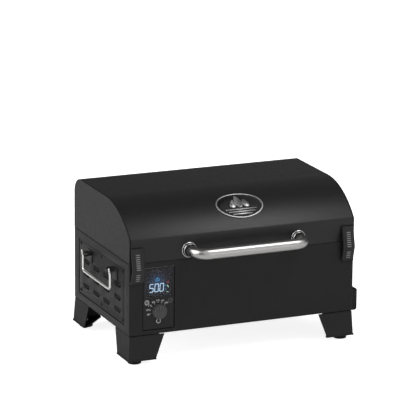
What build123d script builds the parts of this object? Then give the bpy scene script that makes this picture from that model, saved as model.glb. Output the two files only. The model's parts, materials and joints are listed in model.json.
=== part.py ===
from build123d import *
import os
from math import atan2, cos, degrees, pi, radians, sin, sqrt

os.makedirs("parts", exist_ok=True)

# ---------------------------------------------------------------------------
# Driving dimensions, in millimetres.
# The origin is under the middle of the whole grill, where it stands:
# +X is to the user's right, -Y is the front, +Z is up.
# ---------------------------------------------------------------------------

body_width = 560.0
body_depth = 345.0
body_height = 168.0
lid_height = 124.5
leg_height = 60.0
foot_height = 10.0
sheet = 1.5

front_reach = 62.7
rear_reach = 142.7
left_reach = 20.5
right_reach = 37.0

left = -(body_width + left_reach + right_reach) / 2 + left_reach
right = left + body_width
front = -(body_depth + front_reach + rear_reach) / 2 + front_reach
rear = front + body_depth
bottom = foot_height + leg_height
seam = bottom + body_height
top = seam + lid_height
mid_x = (left + right) / 2
mid_y = (front + rear) / 2

seam_gap = 1.0
running_gap = 0.05
panel_gap = 0.8


def save(piece, name):
    """Label a finished piece and write it under its own name."""
    piece.part.label = name
    export_step(piece.part, f"parts/{name}.step")


def block(low, high, mode=Mode.ADD):
    """Box between two opposite corners, in the part being built."""
    size = [b - a for a, b in zip(low, high)]
    centre = [(a + b) / 2 for a, b in zip(low, high)]
    with Locations(tuple(centre)):
        Box(*size, mode=mode)


def rod(start, end, radius, mode=Mode.ADD):
    """Round rod between two points, in the part being built."""
    axis = Vector(*end) - Vector(*start)
    with BuildSketch(Plane(origin=start, z_dir=axis)) as section:
        Circle(radius)
    extrude(section.sketch, amount=axis.length, mode=mode)


def side_profile(points, x_low, x_high, mode=Mode.ADD):
    """Extrude a closed outline, given as (y, z) points, from one X to another."""
    with BuildSketch(Plane.YZ.offset(x_low)) as outline:
        Polygon(*points, align=None)
    extrude(outline.sketch, amount=x_high - x_low, mode=mode)


def end_profile(points, y_low, y_high, mode=Mode.ADD):
    """Extrude a closed outline, given as (x, z) points, from one Y to another."""
    with BuildSketch(Plane.XZ.offset(-y_high)) as outline:
        Polygon(*points, align=None)
    extrude(outline.sketch, amount=y_high - y_low, mode=mode)


# ---------------------------------------------------------------------------
# Body: plates around the fire box
# ---------------------------------------------------------------------------

fascia_low_x = left + 34.0
fascia_high_x = left + 109.0
fascia_low_z = bottom + 11.0
fascia_high_z = bottom + 154.0

service_low_y = front + 33.0
service_high_y = front + 311.0
service_low_z = bottom + 20.0
service_high_z = bottom + 148.5
service_screw_ys = [front + 40.0, front + 171.0, front + 302.0]
service_screw_zs = [bottom + 28.0, bottom + 142.0]
screw_hole_radius = 2.2

auger_z = bottom + 42.0
auger_tube_radius = 25.0
auger_tube_wall = 2.0

drain_y = front + 62.5
drain_hole_z = bottom + 48.0

with BuildPart() as body_front_panel:
    block((left, front, bottom), (right, front + sheet, seam))
    block(
        (fascia_low_x - panel_gap, front - 1, fascia_low_z - panel_gap),
        (fascia_high_x + panel_gap, front + sheet + 1, fascia_high_z + panel_gap),
        mode=Mode.SUBTRACT,
    )
save(body_front_panel, "body_front_panel")

with BuildPart() as body_rear_panel:
    block((left, rear - sheet, bottom), (right, rear, seam))
    rod(
        (mid_x, rear - 5, auger_z),
        (mid_x, rear + 5, auger_z),
        auger_tube_radius + 0.5,
        mode=Mode.SUBTRACT,
    )
save(body_rear_panel, "body_rear_panel")

with BuildPart() as body_floor:
    block((left + sheet, front + sheet, bottom), (right - sheet, rear - sheet, bottom + sheet))
save(body_floor, "body_floor")

# The left wall has a stepped inner frame that the service panel screws on to.
frame_thickness = 1.2
with BuildPart() as body_left_wall:
    block((left, front + sheet, bottom), (left + sheet, rear - sheet, seam))
    block(
        (left - 1, service_low_y - panel_gap, service_low_z - panel_gap),
        (left + sheet + 1, service_high_y + panel_gap, service_high_z + panel_gap),
        mode=Mode.SUBTRACT,
    )
    block(
        (left + sheet, service_low_y - 6, service_low_z - 6),
        (left + sheet + frame_thickness, service_high_y + 6, service_high_z + 3),
    )
    block(
        (left + sheet, service_low_y + 14, service_low_z + 14),
        (left + 5, service_high_y - 14, service_high_z - 14),
        mode=Mode.SUBTRACT,
    )
    for screw_y in service_screw_ys:
        for screw_z in service_screw_zs:
            rod((left, screw_y, screw_z), (left + 5, screw_y, screw_z), screw_hole_radius, Mode.SUBTRACT)
save(body_left_wall, "body_left_wall")

with BuildPart() as body_right_wall:
    block((right - sheet, front + sheet, bottom), (right, rear - sheet, seam))
    block(
        (right - 5, drain_y - 10.5, drain_hole_z - 8.5),
        (right + 5, drain_y + 10.5, drain_hole_z + 8.5),
        mode=Mode.SUBTRACT,
    )
save(body_right_wall, "body_right_wall")

rim_width = 5.0
with BuildPart() as body_rim:
    block((left + sheet, front + sheet, seam - sheet), (right - sheet, rear - sheet, seam))
    block(
        (left + sheet + rim_width, front + sheet + rim_width, seam - 5),
        (right - sheet - rim_width, rear - sheet - rim_width, seam + 5),
        mode=Mode.SUBTRACT,
    )
save(body_rim, "body_rim")

# The baffle closes the compartment of the controller and the fan off from the fire.
compartment_width = 130.0
shelf_z = bottom + 155.0
with BuildPart() as compartment_baffle:
    block(
        (left + compartment_width, front + sheet, bottom + sheet),
        (left + compartment_width + sheet, rear - sheet, shelf_z + sheet),
    )
    block(
        (left + sheet, front + sheet, shelf_z),
        (left + compartment_width + sheet, rear - sheet, shelf_z + sheet),
    )
    block(
        (left + compartment_width - 5, mid_y - 20.5, bottom + 9.5),
        (left + compartment_width + 5, mid_y + 20.5, bottom + 40.5),
        mode=Mode.SUBTRACT,
    )
save(compartment_baffle, "compartment_baffle")

# ---------------------------------------------------------------------------
# Service panel on the left side, with louvres and screws
# ---------------------------------------------------------------------------

louvre_ys = [front + 72.0, front + 140.0, front + 203.0, front + 268.0]
louvre_zs = [bottom + 44.0, bottom + 73.0, bottom + 104.0]
louvre_length = 40.0
louvre_depth = 4.0

with BuildPart() as service_panel:
    block((left, service_low_y, service_low_z), (left + sheet, service_high_y, service_high_z))
    for louvre_y in louvre_ys:
        for louvre_z in louvre_zs:
            hood = [
                (left, louvre_z + 4.5),
                (left - louvre_depth, louvre_z - 1.5),
                (left - louvre_depth, louvre_z - 3.5),
                (left, louvre_z - 3.5),
            ]
            end_profile(hood, louvre_y - louvre_length / 2, louvre_y + louvre_length / 2)
            throat = [
                (left + 5, louvre_z + 2.6),
                (left, louvre_z + 2.6),
                (left - louvre_depth + 1, louvre_z - 1.8),
                (left - louvre_depth + 1, louvre_z - 6.0),
                (left - 0.01, louvre_z - 6.0),
                (left - 0.01, louvre_z - 3.5),
                (left + 5, louvre_z - 3.5),
            ]
            end_profile(
                throat,
                louvre_y - louvre_length / 2 + 1,
                louvre_y + louvre_length / 2 - 1,
                mode=Mode.SUBTRACT,
            )
    for screw_y in service_screw_ys:
        for screw_z in service_screw_zs:
            rod(
                (left - 1, screw_y, screw_z),
                (left + 5, screw_y, screw_z),
                screw_hole_radius,
                Mode.SUBTRACT,
            )
save(service_panel, "service_panel")

with BuildPart() as service_panel_screws:
    for screw_y in service_screw_ys:
        for screw_z in service_screw_zs:
            rod((left - 1.8, screw_y, screw_z), (left, screw_y, screw_z), 4.2)
            rod((left, screw_y, screw_z), (left + 9, screw_y, screw_z), 2.0)
save(service_panel_screws, "service_panel_screws")

# ---------------------------------------------------------------------------
# Legs: folded corner legs with a base plate, a rubber foot and a bolt each
# ---------------------------------------------------------------------------

leg_wall = 2.5
leg_gap = 2.0
leg_top_inset = 1.0
leg_splay = 2.2
leg_front_top = 86.5
leg_front_base = 65.5
leg_side_top = 88.0
leg_side_base = 69.0
base_lip = 1.5
base_thickness = 3.5
foot_inset = 21.0
foot_radius = 16.0
foot_bolt_radius = 3.0

corners = {
    "front_left": (left, front, 1, 1),
    "front_right": (right, front, -1, 1),
    "rear_left": (left, rear, 1, -1),
    "rear_right": (right, rear, -1, -1),
}


def corner_outline(corner, points):
    """Turn (inward x, inward y) offsets from a body corner into row coordinates."""
    corner_x, corner_y, side_x, side_y = corner
    return [(corner_x + side_x * dx, corner_y + side_y * dy) for dx, dy in points]


def angle_outline(inset, front_length, side_length):
    """Offsets of an L-shaped leg section whose outer corner is inset from the body corner."""
    inner = inset + leg_wall
    return [
        (inset, inset),
        (front_length, inset),
        (front_length, inner),
        (inner, inner),
        (inner, side_length),
        (inset, side_length),
    ]


def foot_centre(corner):
    """X and Y of the foot at a body corner."""
    return corner_outline(corner, [(foot_inset, foot_inset)])[0]


base_offset = -leg_splay - base_lip
base_strip = 8.0
base_outline = [
    (base_offset, base_offset),
    (leg_front_base, base_offset),
    (leg_front_base, base_offset + base_strip),
    (base_offset + base_strip, leg_side_base),
    (base_offset, leg_side_base),
]

with BuildPart() as legs:
    for corner in corners.values():
        top_angle = corner_outline(corner, angle_outline(leg_top_inset, leg_front_top, leg_side_top))
        base_angle = corner_outline(corner, angle_outline(-leg_splay, leg_front_base, leg_side_base))
        with BuildSketch(Plane.XY.offset(bottom - leg_gap)):
            Polygon(*top_angle, align=None)
        with BuildSketch(Plane.XY.offset(foot_height + base_thickness)):
            Polygon(*base_angle, align=None)
        loft(ruled=True)
        with BuildSketch(Plane.XY.offset(bottom - 2 * leg_gap)):
            Polygon(*corner_outline(corner, [(2.5, 2.5), (78, 2.5), (2.5, 76)]), align=None)
        extrude(amount=leg_gap)
        with BuildSketch(Plane.XY.offset(bottom - leg_gap)):
            Polygon(*corner_outline(corner, [(12, 12), (56, 12), (12, 56)]), align=None)
        extrude(amount=leg_gap)
        with BuildSketch(Plane.XY.offset(foot_height)):
            Polygon(*corner_outline(corner, base_outline), align=None)
        extrude(amount=base_thickness)
        foot_x, foot_y = foot_centre(corner)
        rod(
            (foot_x, foot_y, foot_height - 1),
            (foot_x, foot_y, foot_height + base_thickness + 1),
            foot_bolt_radius,
            mode=Mode.SUBTRACT,
        )
save(legs, "legs")

foot_outline = [
    (foot_bolt_radius, 4),
    (7, 4),
    (7, 0),
    (foot_radius - 1.5, 0),
    (foot_radius, 1.5),
    (foot_radius - 1, foot_height),
    (foot_bolt_radius, foot_height),
]
with BuildPart() as feet:
    for corner in corners.values():
        foot_x, foot_y = foot_centre(corner)
        with BuildSketch(Plane.XZ.offset(-foot_y)):
            with Locations((foot_x, 0)):
                Polygon(*foot_outline, align=None)
        revolve(axis=Axis((foot_x, foot_y, 0), (0, 0, 1)))
save(feet, "feet")

with BuildPart() as foot_bolts:
    for corner in corners.values():
        foot_x, foot_y = foot_centre(corner)
        rod((foot_x, foot_y, 0.8), (foot_x, foot_y, 4), 6.0)
        rod((foot_x, foot_y, 4), (foot_x, foot_y, foot_height + base_thickness + 6), foot_bolt_radius)
        with BuildSketch(Plane.XY.offset(foot_height + base_thickness)):
            with Locations((foot_x, foot_y)):
                RegularPolygon(6.0, 6)
        extrude(amount=4.5)
save(foot_bolts, "foot_bolts")

# ---------------------------------------------------------------------------
# Controller: fascia, window, housing, electronics, knob and buttons
# ---------------------------------------------------------------------------

fascia_face = front + 0.8
fascia_back = front + 3.6
panel_x = (fascia_low_x + fascia_high_x) / 2
window_low_x = left + 40.0
window_high_x = left + 103.0
window_low_z = bottom + 87.0
window_high_z = bottom + 150.0
window_thickness = 1.2
window_land = 3.0

knob_z = bottom + 53.0
knob_radius = 17.0
knob_reach = 12.0
shaft_radius = 3.0
bushing_radius = 4.5

button_radius = 3.6
button_travel = 1.0
buttons = {
    "left_button": (left + 43.0, bottom + 75.0),
    "right_button": (left + 100.5, bottom + 75.0),
    "power_button": (panel_x, bottom + 29.5),
}

with BuildPart() as controller_fascia:
    block((fascia_low_x, fascia_face, fascia_low_z), (fascia_high_x, fascia_back, fascia_high_z))
    block(
        (window_low_x, front - 1, window_low_z),
        (window_high_x, fascia_face + window_thickness, window_high_z),
        mode=Mode.SUBTRACT,
    )
    block(
        (window_low_x + window_land, front - 1, window_low_z + window_land),
        (window_high_x - window_land, fascia_back + 1, window_high_z - window_land),
        mode=Mode.SUBTRACT,
    )
    rod((panel_x, front - 1, knob_z), (panel_x, front + 9, knob_z), bushing_radius, mode=Mode.SUBTRACT)
    for button_x, button_z in buttons.values():
        rod(
            (button_x, front - 1, button_z),
            (button_x, front + 9, button_z),
            button_radius + 0.3,
            mode=Mode.SUBTRACT,
        )
save(controller_fascia, "controller_fascia")

with BuildPart() as display_window:
    block(
        (window_low_x, fascia_face, window_low_z),
        (window_high_x, fascia_face + window_thickness, window_high_z),
    )
save(display_window, "display_window")

housing_wall = 2.0
housing_back = front + 46.0
with BuildPart() as controller_housing:
    block(
        (fascia_low_x + 2, fascia_back, fascia_low_z + 2),
        (fascia_high_x - 2, housing_back, fascia_high_z - 4),
    )
    block(
        (fascia_low_x + 2 + housing_wall, fascia_back - 1, fascia_low_z + 2 + housing_wall),
        (fascia_high_x - 2 - housing_wall, housing_back - housing_wall, fascia_high_z - 4 - housing_wall),
        mode=Mode.SUBTRACT,
    )
save(controller_housing, "controller_housing")

board_front = front + 14.0
# The circuit board carries the display module and the knob's encoder.
with BuildPart() as control_board:
    block(
        (fascia_low_x + 5, board_front, fascia_low_z + 6),
        (fascia_high_x - 5, board_front + 1.6, fascia_high_z - 8),
    )
    block(
        (window_low_x + window_land + 0.5, fascia_back, window_low_z + window_land + 0.5),
        (window_high_x - window_land - 0.5, board_front, window_high_z - 10),
    )
    block((panel_x - 7, fascia_back + 1.4, knob_z - 7), (panel_x + 7, board_front, knob_z + 7))
    rod((panel_x, fascia_face, knob_z), (panel_x, fascia_back + 1.4, knob_z), bushing_radius)
    rod(
        (panel_x, front - 1, knob_z),
        (panel_x, board_front - 1, knob_z),
        shaft_radius + running_gap,
        mode=Mode.SUBTRACT,
    )
save(control_board, "control_board")

with BuildPart() as knob_shaft:
    rod((panel_x, front - knob_reach + 3, knob_z), (panel_x, board_front - 2, knob_z), shaft_radius)
save(knob_shaft, "knob_shaft")

with BuildPart() as control_knob:
    with BuildSketch(Plane.XZ.offset(-front)):
        with Locations((panel_x, knob_z)):
            Circle(knob_radius)
    extrude(amount=knob_reach - 2, taper=4)
    with BuildSketch(Plane.XZ.offset(-front + knob_reach - 2)):
        with Locations((panel_x, knob_z)):
            Circle(knob_radius - 3)
    extrude(amount=2)
    rod(
        (panel_x, front - knob_reach + 3, knob_z),
        (panel_x, front + 1, knob_z),
        shaft_radius,
        mode=Mode.SUBTRACT,
    )
save(control_knob, "control_knob")

for name, (button_x, button_z) in buttons.items():
    with BuildPart() as button:
        rod((button_x, front - 0.6, button_z), (button_x, fascia_back + 0.2, button_z), button_radius)
        rod((button_x, fascia_back + 0.2, button_z), (button_x, fascia_back + 1.4, button_z), 4.4)
        rod((button_x, fascia_back + 1.4, button_z), (button_x, board_front - 3, button_z), 1.5)
    save(button, name)

# ---------------------------------------------------------------------------
# Fire: pot, igniter, auger, fan, duct and probe
# ---------------------------------------------------------------------------

pot_y = mid_y
pot_radius = 48.0
pot_wall = 2.5
pot_low_z = bottom + sheet
pot_height = 74.0

with BuildPart() as fire_pot:
    rod((mid_x, pot_y, pot_low_z), (mid_x, pot_y, pot_low_z + pot_height), pot_radius)
    rod(
        (mid_x, pot_y, pot_low_z + 3),
        (mid_x, pot_y, pot_low_z + pot_height + 1),
        pot_radius - pot_wall,
        mode=Mode.SUBTRACT,
    )
    rod(
        (mid_x, pot_y, auger_z),
        (mid_x, pot_y + 60, auger_z),
        auger_tube_radius + 0.5,
        mode=Mode.SUBTRACT,
    )
    rod((mid_x, pot_y, bottom + 16), (mid_x + 60, pot_y, bottom + 16), 6.5, mode=Mode.SUBTRACT)
    block(
        (mid_x - 60, pot_y - 14, bottom + 12),
        (mid_x - 30, pot_y + 14, bottom + 38),
        mode=Mode.SUBTRACT,
    )
save(fire_pot, "fire_pot")

with BuildPart() as igniter:
    rod((mid_x + 30, pot_y, bottom + 16), (mid_x + 78, pot_y, bottom + 16), 5.0)
    rod((mid_x + 52, pot_y, bottom + 16), (mid_x + 58, pot_y, bottom + 16), 10.0)
save(igniter, "igniter")

auger_start_y = pot_y + 36
auger_end_y = rear + 98.0
auger_radius = 20.0
auger_shaft_radius = 7.0
auger_pitch = 32.0

with BuildPart() as auger_tube:
    rod((mid_x, pot_y + 42, auger_z), (mid_x, auger_end_y, auger_z), auger_tube_radius)
    rod(
        (mid_x, pot_y, auger_z),
        (mid_x, auger_end_y + 5, auger_z),
        auger_tube_radius - auger_tube_wall,
        mode=Mode.SUBTRACT,
    )
    block(
        (mid_x - 17, rear + 30, auger_z),
        (mid_x + 17, rear + 88, auger_z + 40),
        mode=Mode.SUBTRACT,
    )
save(auger_tube, "auger_tube")

# The flight is a run of short sloped blades, one after another round the shaft.
blades_per_turn = 10
blade_count = int((auger_end_y - 12 - auger_start_y) / auger_pitch * blades_per_turn)
blade_step = auger_pitch / blades_per_turn
blade_lead = degrees(atan2(auger_pitch, 2 * pi * 13.0))
with BuildPart() as auger_screw:
    rod((mid_x, auger_start_y, auger_z), (mid_x, auger_end_y + 2, auger_z), auger_shaft_radius)
    for index in range(blade_count):
        turn = index * 360 / blades_per_turn
        blade_y = auger_start_y + 4 + index * blade_step
        centre_x = mid_x + 13 * cos(radians(turn))
        centre_z = auger_z + 13 * sin(radians(turn))
        blade_plane = Plane(
            origin=(centre_x, blade_y, centre_z),
            x_dir=(cos(radians(turn)), 0, sin(radians(turn))),
            z_dir=(0, 1, 0),
        ).rotated((-blade_lead, 0, 0))
        with BuildSketch(blade_plane):
            Rectangle(13, 11)
        extrude(amount=1, both=True)
save(auger_screw, "auger_screw")

with BuildPart() as auger_motor:
    block((mid_x - 34, auger_end_y + 3, auger_z - 25), (mid_x + 34, rear + rear_reach - 10, auger_z + 25))
    rod(
        (mid_x, auger_end_y, auger_z),
        (mid_x, auger_end_y + 3, auger_z),
        auger_tube_radius,
    )
    rod(
        (mid_x, auger_end_y - 1, auger_z),
        (mid_x, auger_end_y + 3, auger_z),
        auger_shaft_radius + 1,
        mode=Mode.SUBTRACT,
    )
save(auger_motor, "auger_motor")

fan_x = left + 62.0
fan_z = bottom + 62.0
fan_radius = 42.0
duct_low_z = bottom + 10.0
duct_high_z = bottom + 40.0
with BuildPart() as fan_housing:
    rod((fan_x, pot_y - 18, fan_z), (fan_x, pot_y + 18, fan_z), fan_radius)
    block((fan_x, pot_y - 20, duct_low_z), (mid_x - 50, pot_y + 20, duct_high_z))
    rod(
        (fan_x, pot_y - 16, fan_z),
        (fan_x, pot_y + 16, fan_z),
        fan_radius - 2,
        mode=Mode.SUBTRACT,
    )
    rod((fan_x, pot_y - 21, fan_z), (fan_x, pot_y - 10, fan_z), 24, mode=Mode.SUBTRACT)
    block(
        (fan_x + 20, pot_y - 18, duct_low_z + 2),
        (mid_x - 49, pot_y + 18, duct_high_z - 2),
        mode=Mode.SUBTRACT,
    )
    rod((fan_x, pot_y + 18, fan_z), (fan_x, pot_y + 50, fan_z), 24)
    rod((fan_x, pot_y + 10, fan_z), (fan_x, pot_y + 21, fan_z), 4 + running_gap, mode=Mode.SUBTRACT)
save(fan_housing, "fan_housing")

with BuildPart() as fan_impeller:
    rod((fan_x, pot_y - 12, fan_z), (fan_x, pot_y + 12, fan_z), 10)
    rod((fan_x, pot_y + 12, fan_z), (fan_x, pot_y + 19, fan_z), 4)
    rod((fan_x, pot_y + 10, fan_z), (fan_x, pot_y + 12, fan_z), 34)
    for index in range(12):
        turn = radians(index * 30)
        inner = (fan_x + 9 * cos(turn), pot_y - 12, fan_z + 9 * sin(turn))
        with BuildSketch(Plane(origin=inner, x_dir=(cos(turn), 0, sin(turn)), z_dir=(0, 1, 0))):
            Rectangle(24, 1.5, align=(Align.MIN, Align.CENTER))
        extrude(amount=22)
save(fan_impeller, "fan_impeller")

with BuildPart() as temperature_probe:
    probe_x = left + compartment_width + sheet
    rod((probe_x, front + 250, bottom + 110), (probe_x + 4, front + 250, bottom + 110), 7)
    rod((probe_x + 4, front + 250, bottom + 110), (probe_x + 42, front + 250, bottom + 110), 3)
save(temperature_probe, "temperature_probe")

# ---------------------------------------------------------------------------
# Cooking: deflector, drip tray with flame slots and slider, rails and grate
# ---------------------------------------------------------------------------

tray_low_x = left + compartment_width + 6
tray_high_x = right - sheet - 4
tray_sheet = 1.5
tray_z = bottom + 124.0
slot_pitch = 14.0
slot_count = 7
slot_width = 6.0
slot_length = 110.0

with BuildPart() as heat_deflector:
    block((mid_x - 70, pot_y - 60, bottom + 92), (mid_x + 70, pot_y + 60, bottom + 94))
    for side_x in (-1, 1):
        for side_y in (-1, 1):
            stand_x = mid_x + side_x * 64
            stand_y = pot_y + side_y * 54
            block((stand_x - 3, stand_y - 3, bottom + sheet), (stand_x + 3, stand_y + 3, bottom + 92))
save(heat_deflector, "heat_deflector")

with BuildPart() as drip_tray:
    block((tray_low_x, front + 45, tray_z), (tray_high_x, rear - 8, tray_z + tray_sheet))
    block((tray_low_x, rear - 8 - tray_sheet, tray_z + tray_sheet), (tray_high_x, rear - 8, tray_z + 14))
    for rim_x in (tray_low_x, tray_high_x - tray_sheet):
        block((rim_x, front + 80, tray_z + tray_sheet), (rim_x + tray_sheet, rear - 9.5, tray_z + 14))
    block((tray_low_x, front + 45, tray_z + tray_sheet), (tray_high_x, front + 46.5, tray_z + 10))
    for index in range(slot_count):
        slot_x = mid_x + (index - (slot_count - 1) / 2) * slot_pitch
        block(
            (slot_x - slot_width / 2, pot_y - slot_length / 2, tray_z - 1),
            (slot_x + slot_width / 2, pot_y + slot_length / 2, tray_z + tray_sheet + 1),
            mode=Mode.SUBTRACT,
        )
    drain_x = right - 25.0
    rod((drain_x, drain_y, tray_z - 1), (drain_x, drain_y, tray_z + 3), 8.0, mode=Mode.SUBTRACT)
save(drip_tray, "drip_tray")

slider_z = tray_z + tray_sheet + 0.3
with BuildPart() as broiler_slider:
    block(
        (mid_x - 56, pot_y - 62, slider_z),
        (mid_x + 56, pot_y + 62, slider_z + 2),
    )
    for index in range(slot_count):
        slot_x = mid_x + (index - (slot_count - 1) / 2) * slot_pitch + slot_pitch / 2
        if index < slot_count - 1:
            block(
                (slot_x - slot_width / 2, pot_y - slot_length / 2, slider_z - 1),
                (slot_x + slot_width / 2, pot_y + slot_length / 2, slider_z + 3),
                mode=Mode.SUBTRACT,
            )
    block((mid_x + 40, pot_y - 62, slider_z + 2), (mid_x + 44, pot_y - 38, slider_z + 16))
save(broiler_slider, "broiler_slider")

with BuildPart() as grease_drain:
    drain_low_z = drain_hole_z - 8.0
    block((drain_x - 12, drain_y - 10, drain_low_z), (drain_x + 10, drain_y + 10, tray_z))
    block((drain_x + 10, drain_y - 10, drain_low_z), (right + 16, drain_y + 10, drain_low_z + 16))
    block(
        (drain_x - 10, drain_y - 8, drain_low_z + 2),
        (drain_x + 8, drain_y + 8, tray_z + 1),
        mode=Mode.SUBTRACT,
    )
    block(
        (drain_x, drain_y - 8, drain_low_z + 2),
        (right + 14, drain_y + 8, drain_low_z + 14),
        mode=Mode.SUBTRACT,
    )
    block(
        (right + 4, drain_y - 8, drain_low_z - 1),
        (right + 14, drain_y + 8, drain_low_z + 5),
        mode=Mode.SUBTRACT,
    )
save(grease_drain, "grease_drain")

grate_low_z = bottom + 158.5
grate_height = 7.5
rail_width = 12.0
with BuildPart() as grate_rails:
    for rail_y in (front + sheet, rear - sheet - rail_width):
        block((left + sheet, rail_y, shelf_z + sheet), (right - sheet, rail_y + rail_width, grate_low_z))
save(grate_rails, "grate_rails")

grate_inset = 8.0
bar_width = 5.0
bar_count = 32
grate_low_x = left + grate_inset
grate_high_x = right - grate_inset
grate_low_y = front + grate_inset
grate_high_y = rear - grate_inset
with BuildPart() as cooking_grate:
    block(
        (grate_low_x, grate_low_y, grate_low_z),
        (grate_high_x, grate_high_y, grate_low_z + grate_height),
    )
    open_width = grate_high_x - grate_low_x - 2 * bar_width
    bar_pitch = (open_width + bar_width) / (bar_count + 1)
    rows = [
        (grate_low_y + bar_width, mid_y - bar_width / 2),
        (mid_y + bar_width / 2, grate_high_y - bar_width),
    ]
    for row_low_y, row_high_y in rows:
        for index in range(bar_count + 1):
            gap_x = grate_low_x + bar_width + index * bar_pitch
            block(
                (gap_x, row_low_y, grate_low_z - 1),
                (gap_x + bar_pitch - bar_width, row_high_y, grate_low_z + grate_height + 1),
                mode=Mode.SUBTRACT,
            )
save(cooking_grate, "cooking_grate")

# ---------------------------------------------------------------------------
# Grease cup: slides out of two side rails on the right wall
# ---------------------------------------------------------------------------

cup_low_x = right + 1.5
cup_high_x = right + right_reach
cup_low_y = front + 51.0
cup_high_y = front + 141.0
cup_low_z = bottom - 18.0
cup_high_z = bottom + 33.0
cup_wall = 1.0
cup_corner = 5.0
flange_z = bottom + 28.2
flange_width = 4.0


def cup_body(inset, rim_z, mode=Mode.ADD):
    """Cup-shaped solid with a rounded lower outer edge, moved inwards by inset."""
    low_x, high_x = cup_low_x + inset, cup_high_x - inset
    low_z = cup_low_z + inset
    corner = cup_corner - inset
    with BuildSketch(Plane.XZ.offset(-(cup_high_y - inset))) as outline:
        with BuildLine():
            Polyline(
                (high_x, low_z + corner),
                (high_x, rim_z),
                (low_x, rim_z),
                (low_x, low_z),
                (high_x - corner, low_z),
            )
            TangentArc((high_x - corner, low_z), (high_x, low_z + corner), tangent=(1, 0))
        make_face()
    extrude(outline.sketch, amount=cup_high_y - cup_low_y - 2 * inset, mode=mode)


with BuildPart() as grease_cup:
    cup_body(0.0, cup_high_z)
    block(
        (cup_low_x, cup_low_y - flange_width, flange_z),
        (cup_high_x - 4, cup_high_y + flange_width, flange_z + 1.2),
    )
    cup_body(cup_wall, cup_high_z + 1, mode=Mode.SUBTRACT)
save(grease_cup, "grease_cup")

with BuildPart() as grease_cup_bracket:
    block((right, cup_low_y - 6, bottom + 18), (right + 1, cup_high_y + 6, bottom + 34))
    block((right + 1, cup_low_y - 3.5, flange_z - 3.2), (right + 28, cup_low_y - 2, flange_z - 0.2))
    block((right + 1, cup_high_y + 2, flange_z - 3.2), (right + 28, cup_high_y + 3.5, flange_z - 0.2))
save(grease_cup_bracket, "grease_cup_bracket")

# ---------------------------------------------------------------------------
# Pellet hopper behind the body
# ---------------------------------------------------------------------------

hopper_low_x = mid_x - 165.0
hopper_high_x = mid_x + 165.0
hopper_low_y = rear
hopper_high_y = rear + 130.0
hopper_low_z = bottom + 4.0
hopper_high_z = bottom + 146.0
hopper_sheet = 1.5

with BuildPart() as hopper_shell:
    block((hopper_low_x, hopper_low_y, hopper_low_z), (hopper_high_x, hopper_high_y, hopper_high_z))
    block((mid_x - 40, hopper_high_y, auger_z - 32), (mid_x + 40, rear + rear_reach, auger_z + 32))
    block(
        (hopper_low_x + hopper_sheet, hopper_low_y + hopper_sheet, hopper_low_z + hopper_sheet),
        (hopper_high_x - hopper_sheet, hopper_high_y - hopper_sheet, hopper_high_z + 1),
        mode=Mode.SUBTRACT,
    )
    rod(
        (mid_x, rear - 5, auger_z),
        (mid_x, rear + 9, auger_z),
        auger_tube_radius + 0.5,
        mode=Mode.SUBTRACT,
    )
    block(
        (mid_x - 38.5, hopper_high_y - 5, auger_z - 30.5),
        (mid_x + 38.5, rear + rear_reach - hopper_sheet, auger_z + 30.5),
        mode=Mode.SUBTRACT,
    )
    inlet_x = hopper_low_x + 45.0
    inlet_z = hopper_low_z + 34.0
    block(
        (inlet_x - 14, hopper_high_y - 5, inlet_z - 10.5),
        (inlet_x + 14, hopper_high_y + 5, inlet_z + 10.5),
        mode=Mode.SUBTRACT,
    )
save(hopper_shell, "hopper_shell")

# The chute is two sloped sheets that lead the pellets to the mouth of the auger tube.
chute_low_z = auger_z + 27.0
chute_high_z = hopper_high_z - 22.0
chute_mouth = 17.0
chute_sheet = 1.5
with BuildPart() as hopper_chute:
    for side in (-1, 1):
        outer_x = mid_x + side * (hopper_high_x - mid_x - hopper_sheet)
        inner_x = mid_x + side * chute_mouth
        end_profile(
            [
                (outer_x, chute_high_z),
                (outer_x, chute_high_z + chute_sheet),
                (inner_x, chute_low_z + chute_sheet),
                (inner_x, chute_low_z),
            ],
            hopper_low_y + hopper_sheet,
            hopper_high_y - hopper_sheet,
        )
    block((mid_x - 17, rear + 30, auger_z + 20), (mid_x + 17, rear + 88, chute_low_z))
    block(
        (mid_x - 15.5, rear + 31.5, auger_z),
        (mid_x + 15.5, rear + 86.5, chute_low_z + 5),
        mode=Mode.SUBTRACT,
    )
    rod((mid_x, rear, auger_z), (mid_x, rear + 120, auger_z), auger_tube_radius, mode=Mode.SUBTRACT)
save(hopper_chute, "hopper_chute")

guard_pitch = 20.0
guard_low_z = hopper_high_z - 14.0
with BuildPart() as hopper_guard:
    guard_low_x = hopper_low_x + hopper_sheet
    guard_high_x = hopper_high_x - hopper_sheet
    guard_low_y = hopper_low_y + hopper_sheet
    guard_high_y = hopper_high_y - hopper_sheet
    block((guard_low_x, guard_low_y, guard_low_z), (guard_high_x, guard_low_y + 3, guard_low_z + 3))
    block((guard_low_x, guard_high_y - 3, guard_low_z), (guard_high_x, guard_high_y, guard_low_z + 3))
    bar_x = guard_low_x + guard_pitch
    while bar_x < guard_high_x - guard_pitch / 2:
        block((bar_x - 1.5, guard_low_y, guard_low_z), (bar_x + 1.5, guard_high_y, guard_low_z + 3))
        bar_x += guard_pitch
    block((guard_low_x, rear + 64, guard_low_z), (guard_high_x, rear + 67, guard_low_z + 3))
save(hopper_guard, "hopper_guard")

hopper_hinge_y = rear + 136.0
hopper_hinge_z = hopper_high_z + 3.0
hinge_pin_radius = 2.0
hinge_barrel_radius = 3.8
hopper_hinge_xs = [mid_x - 110.0, mid_x + 110.0]

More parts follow.
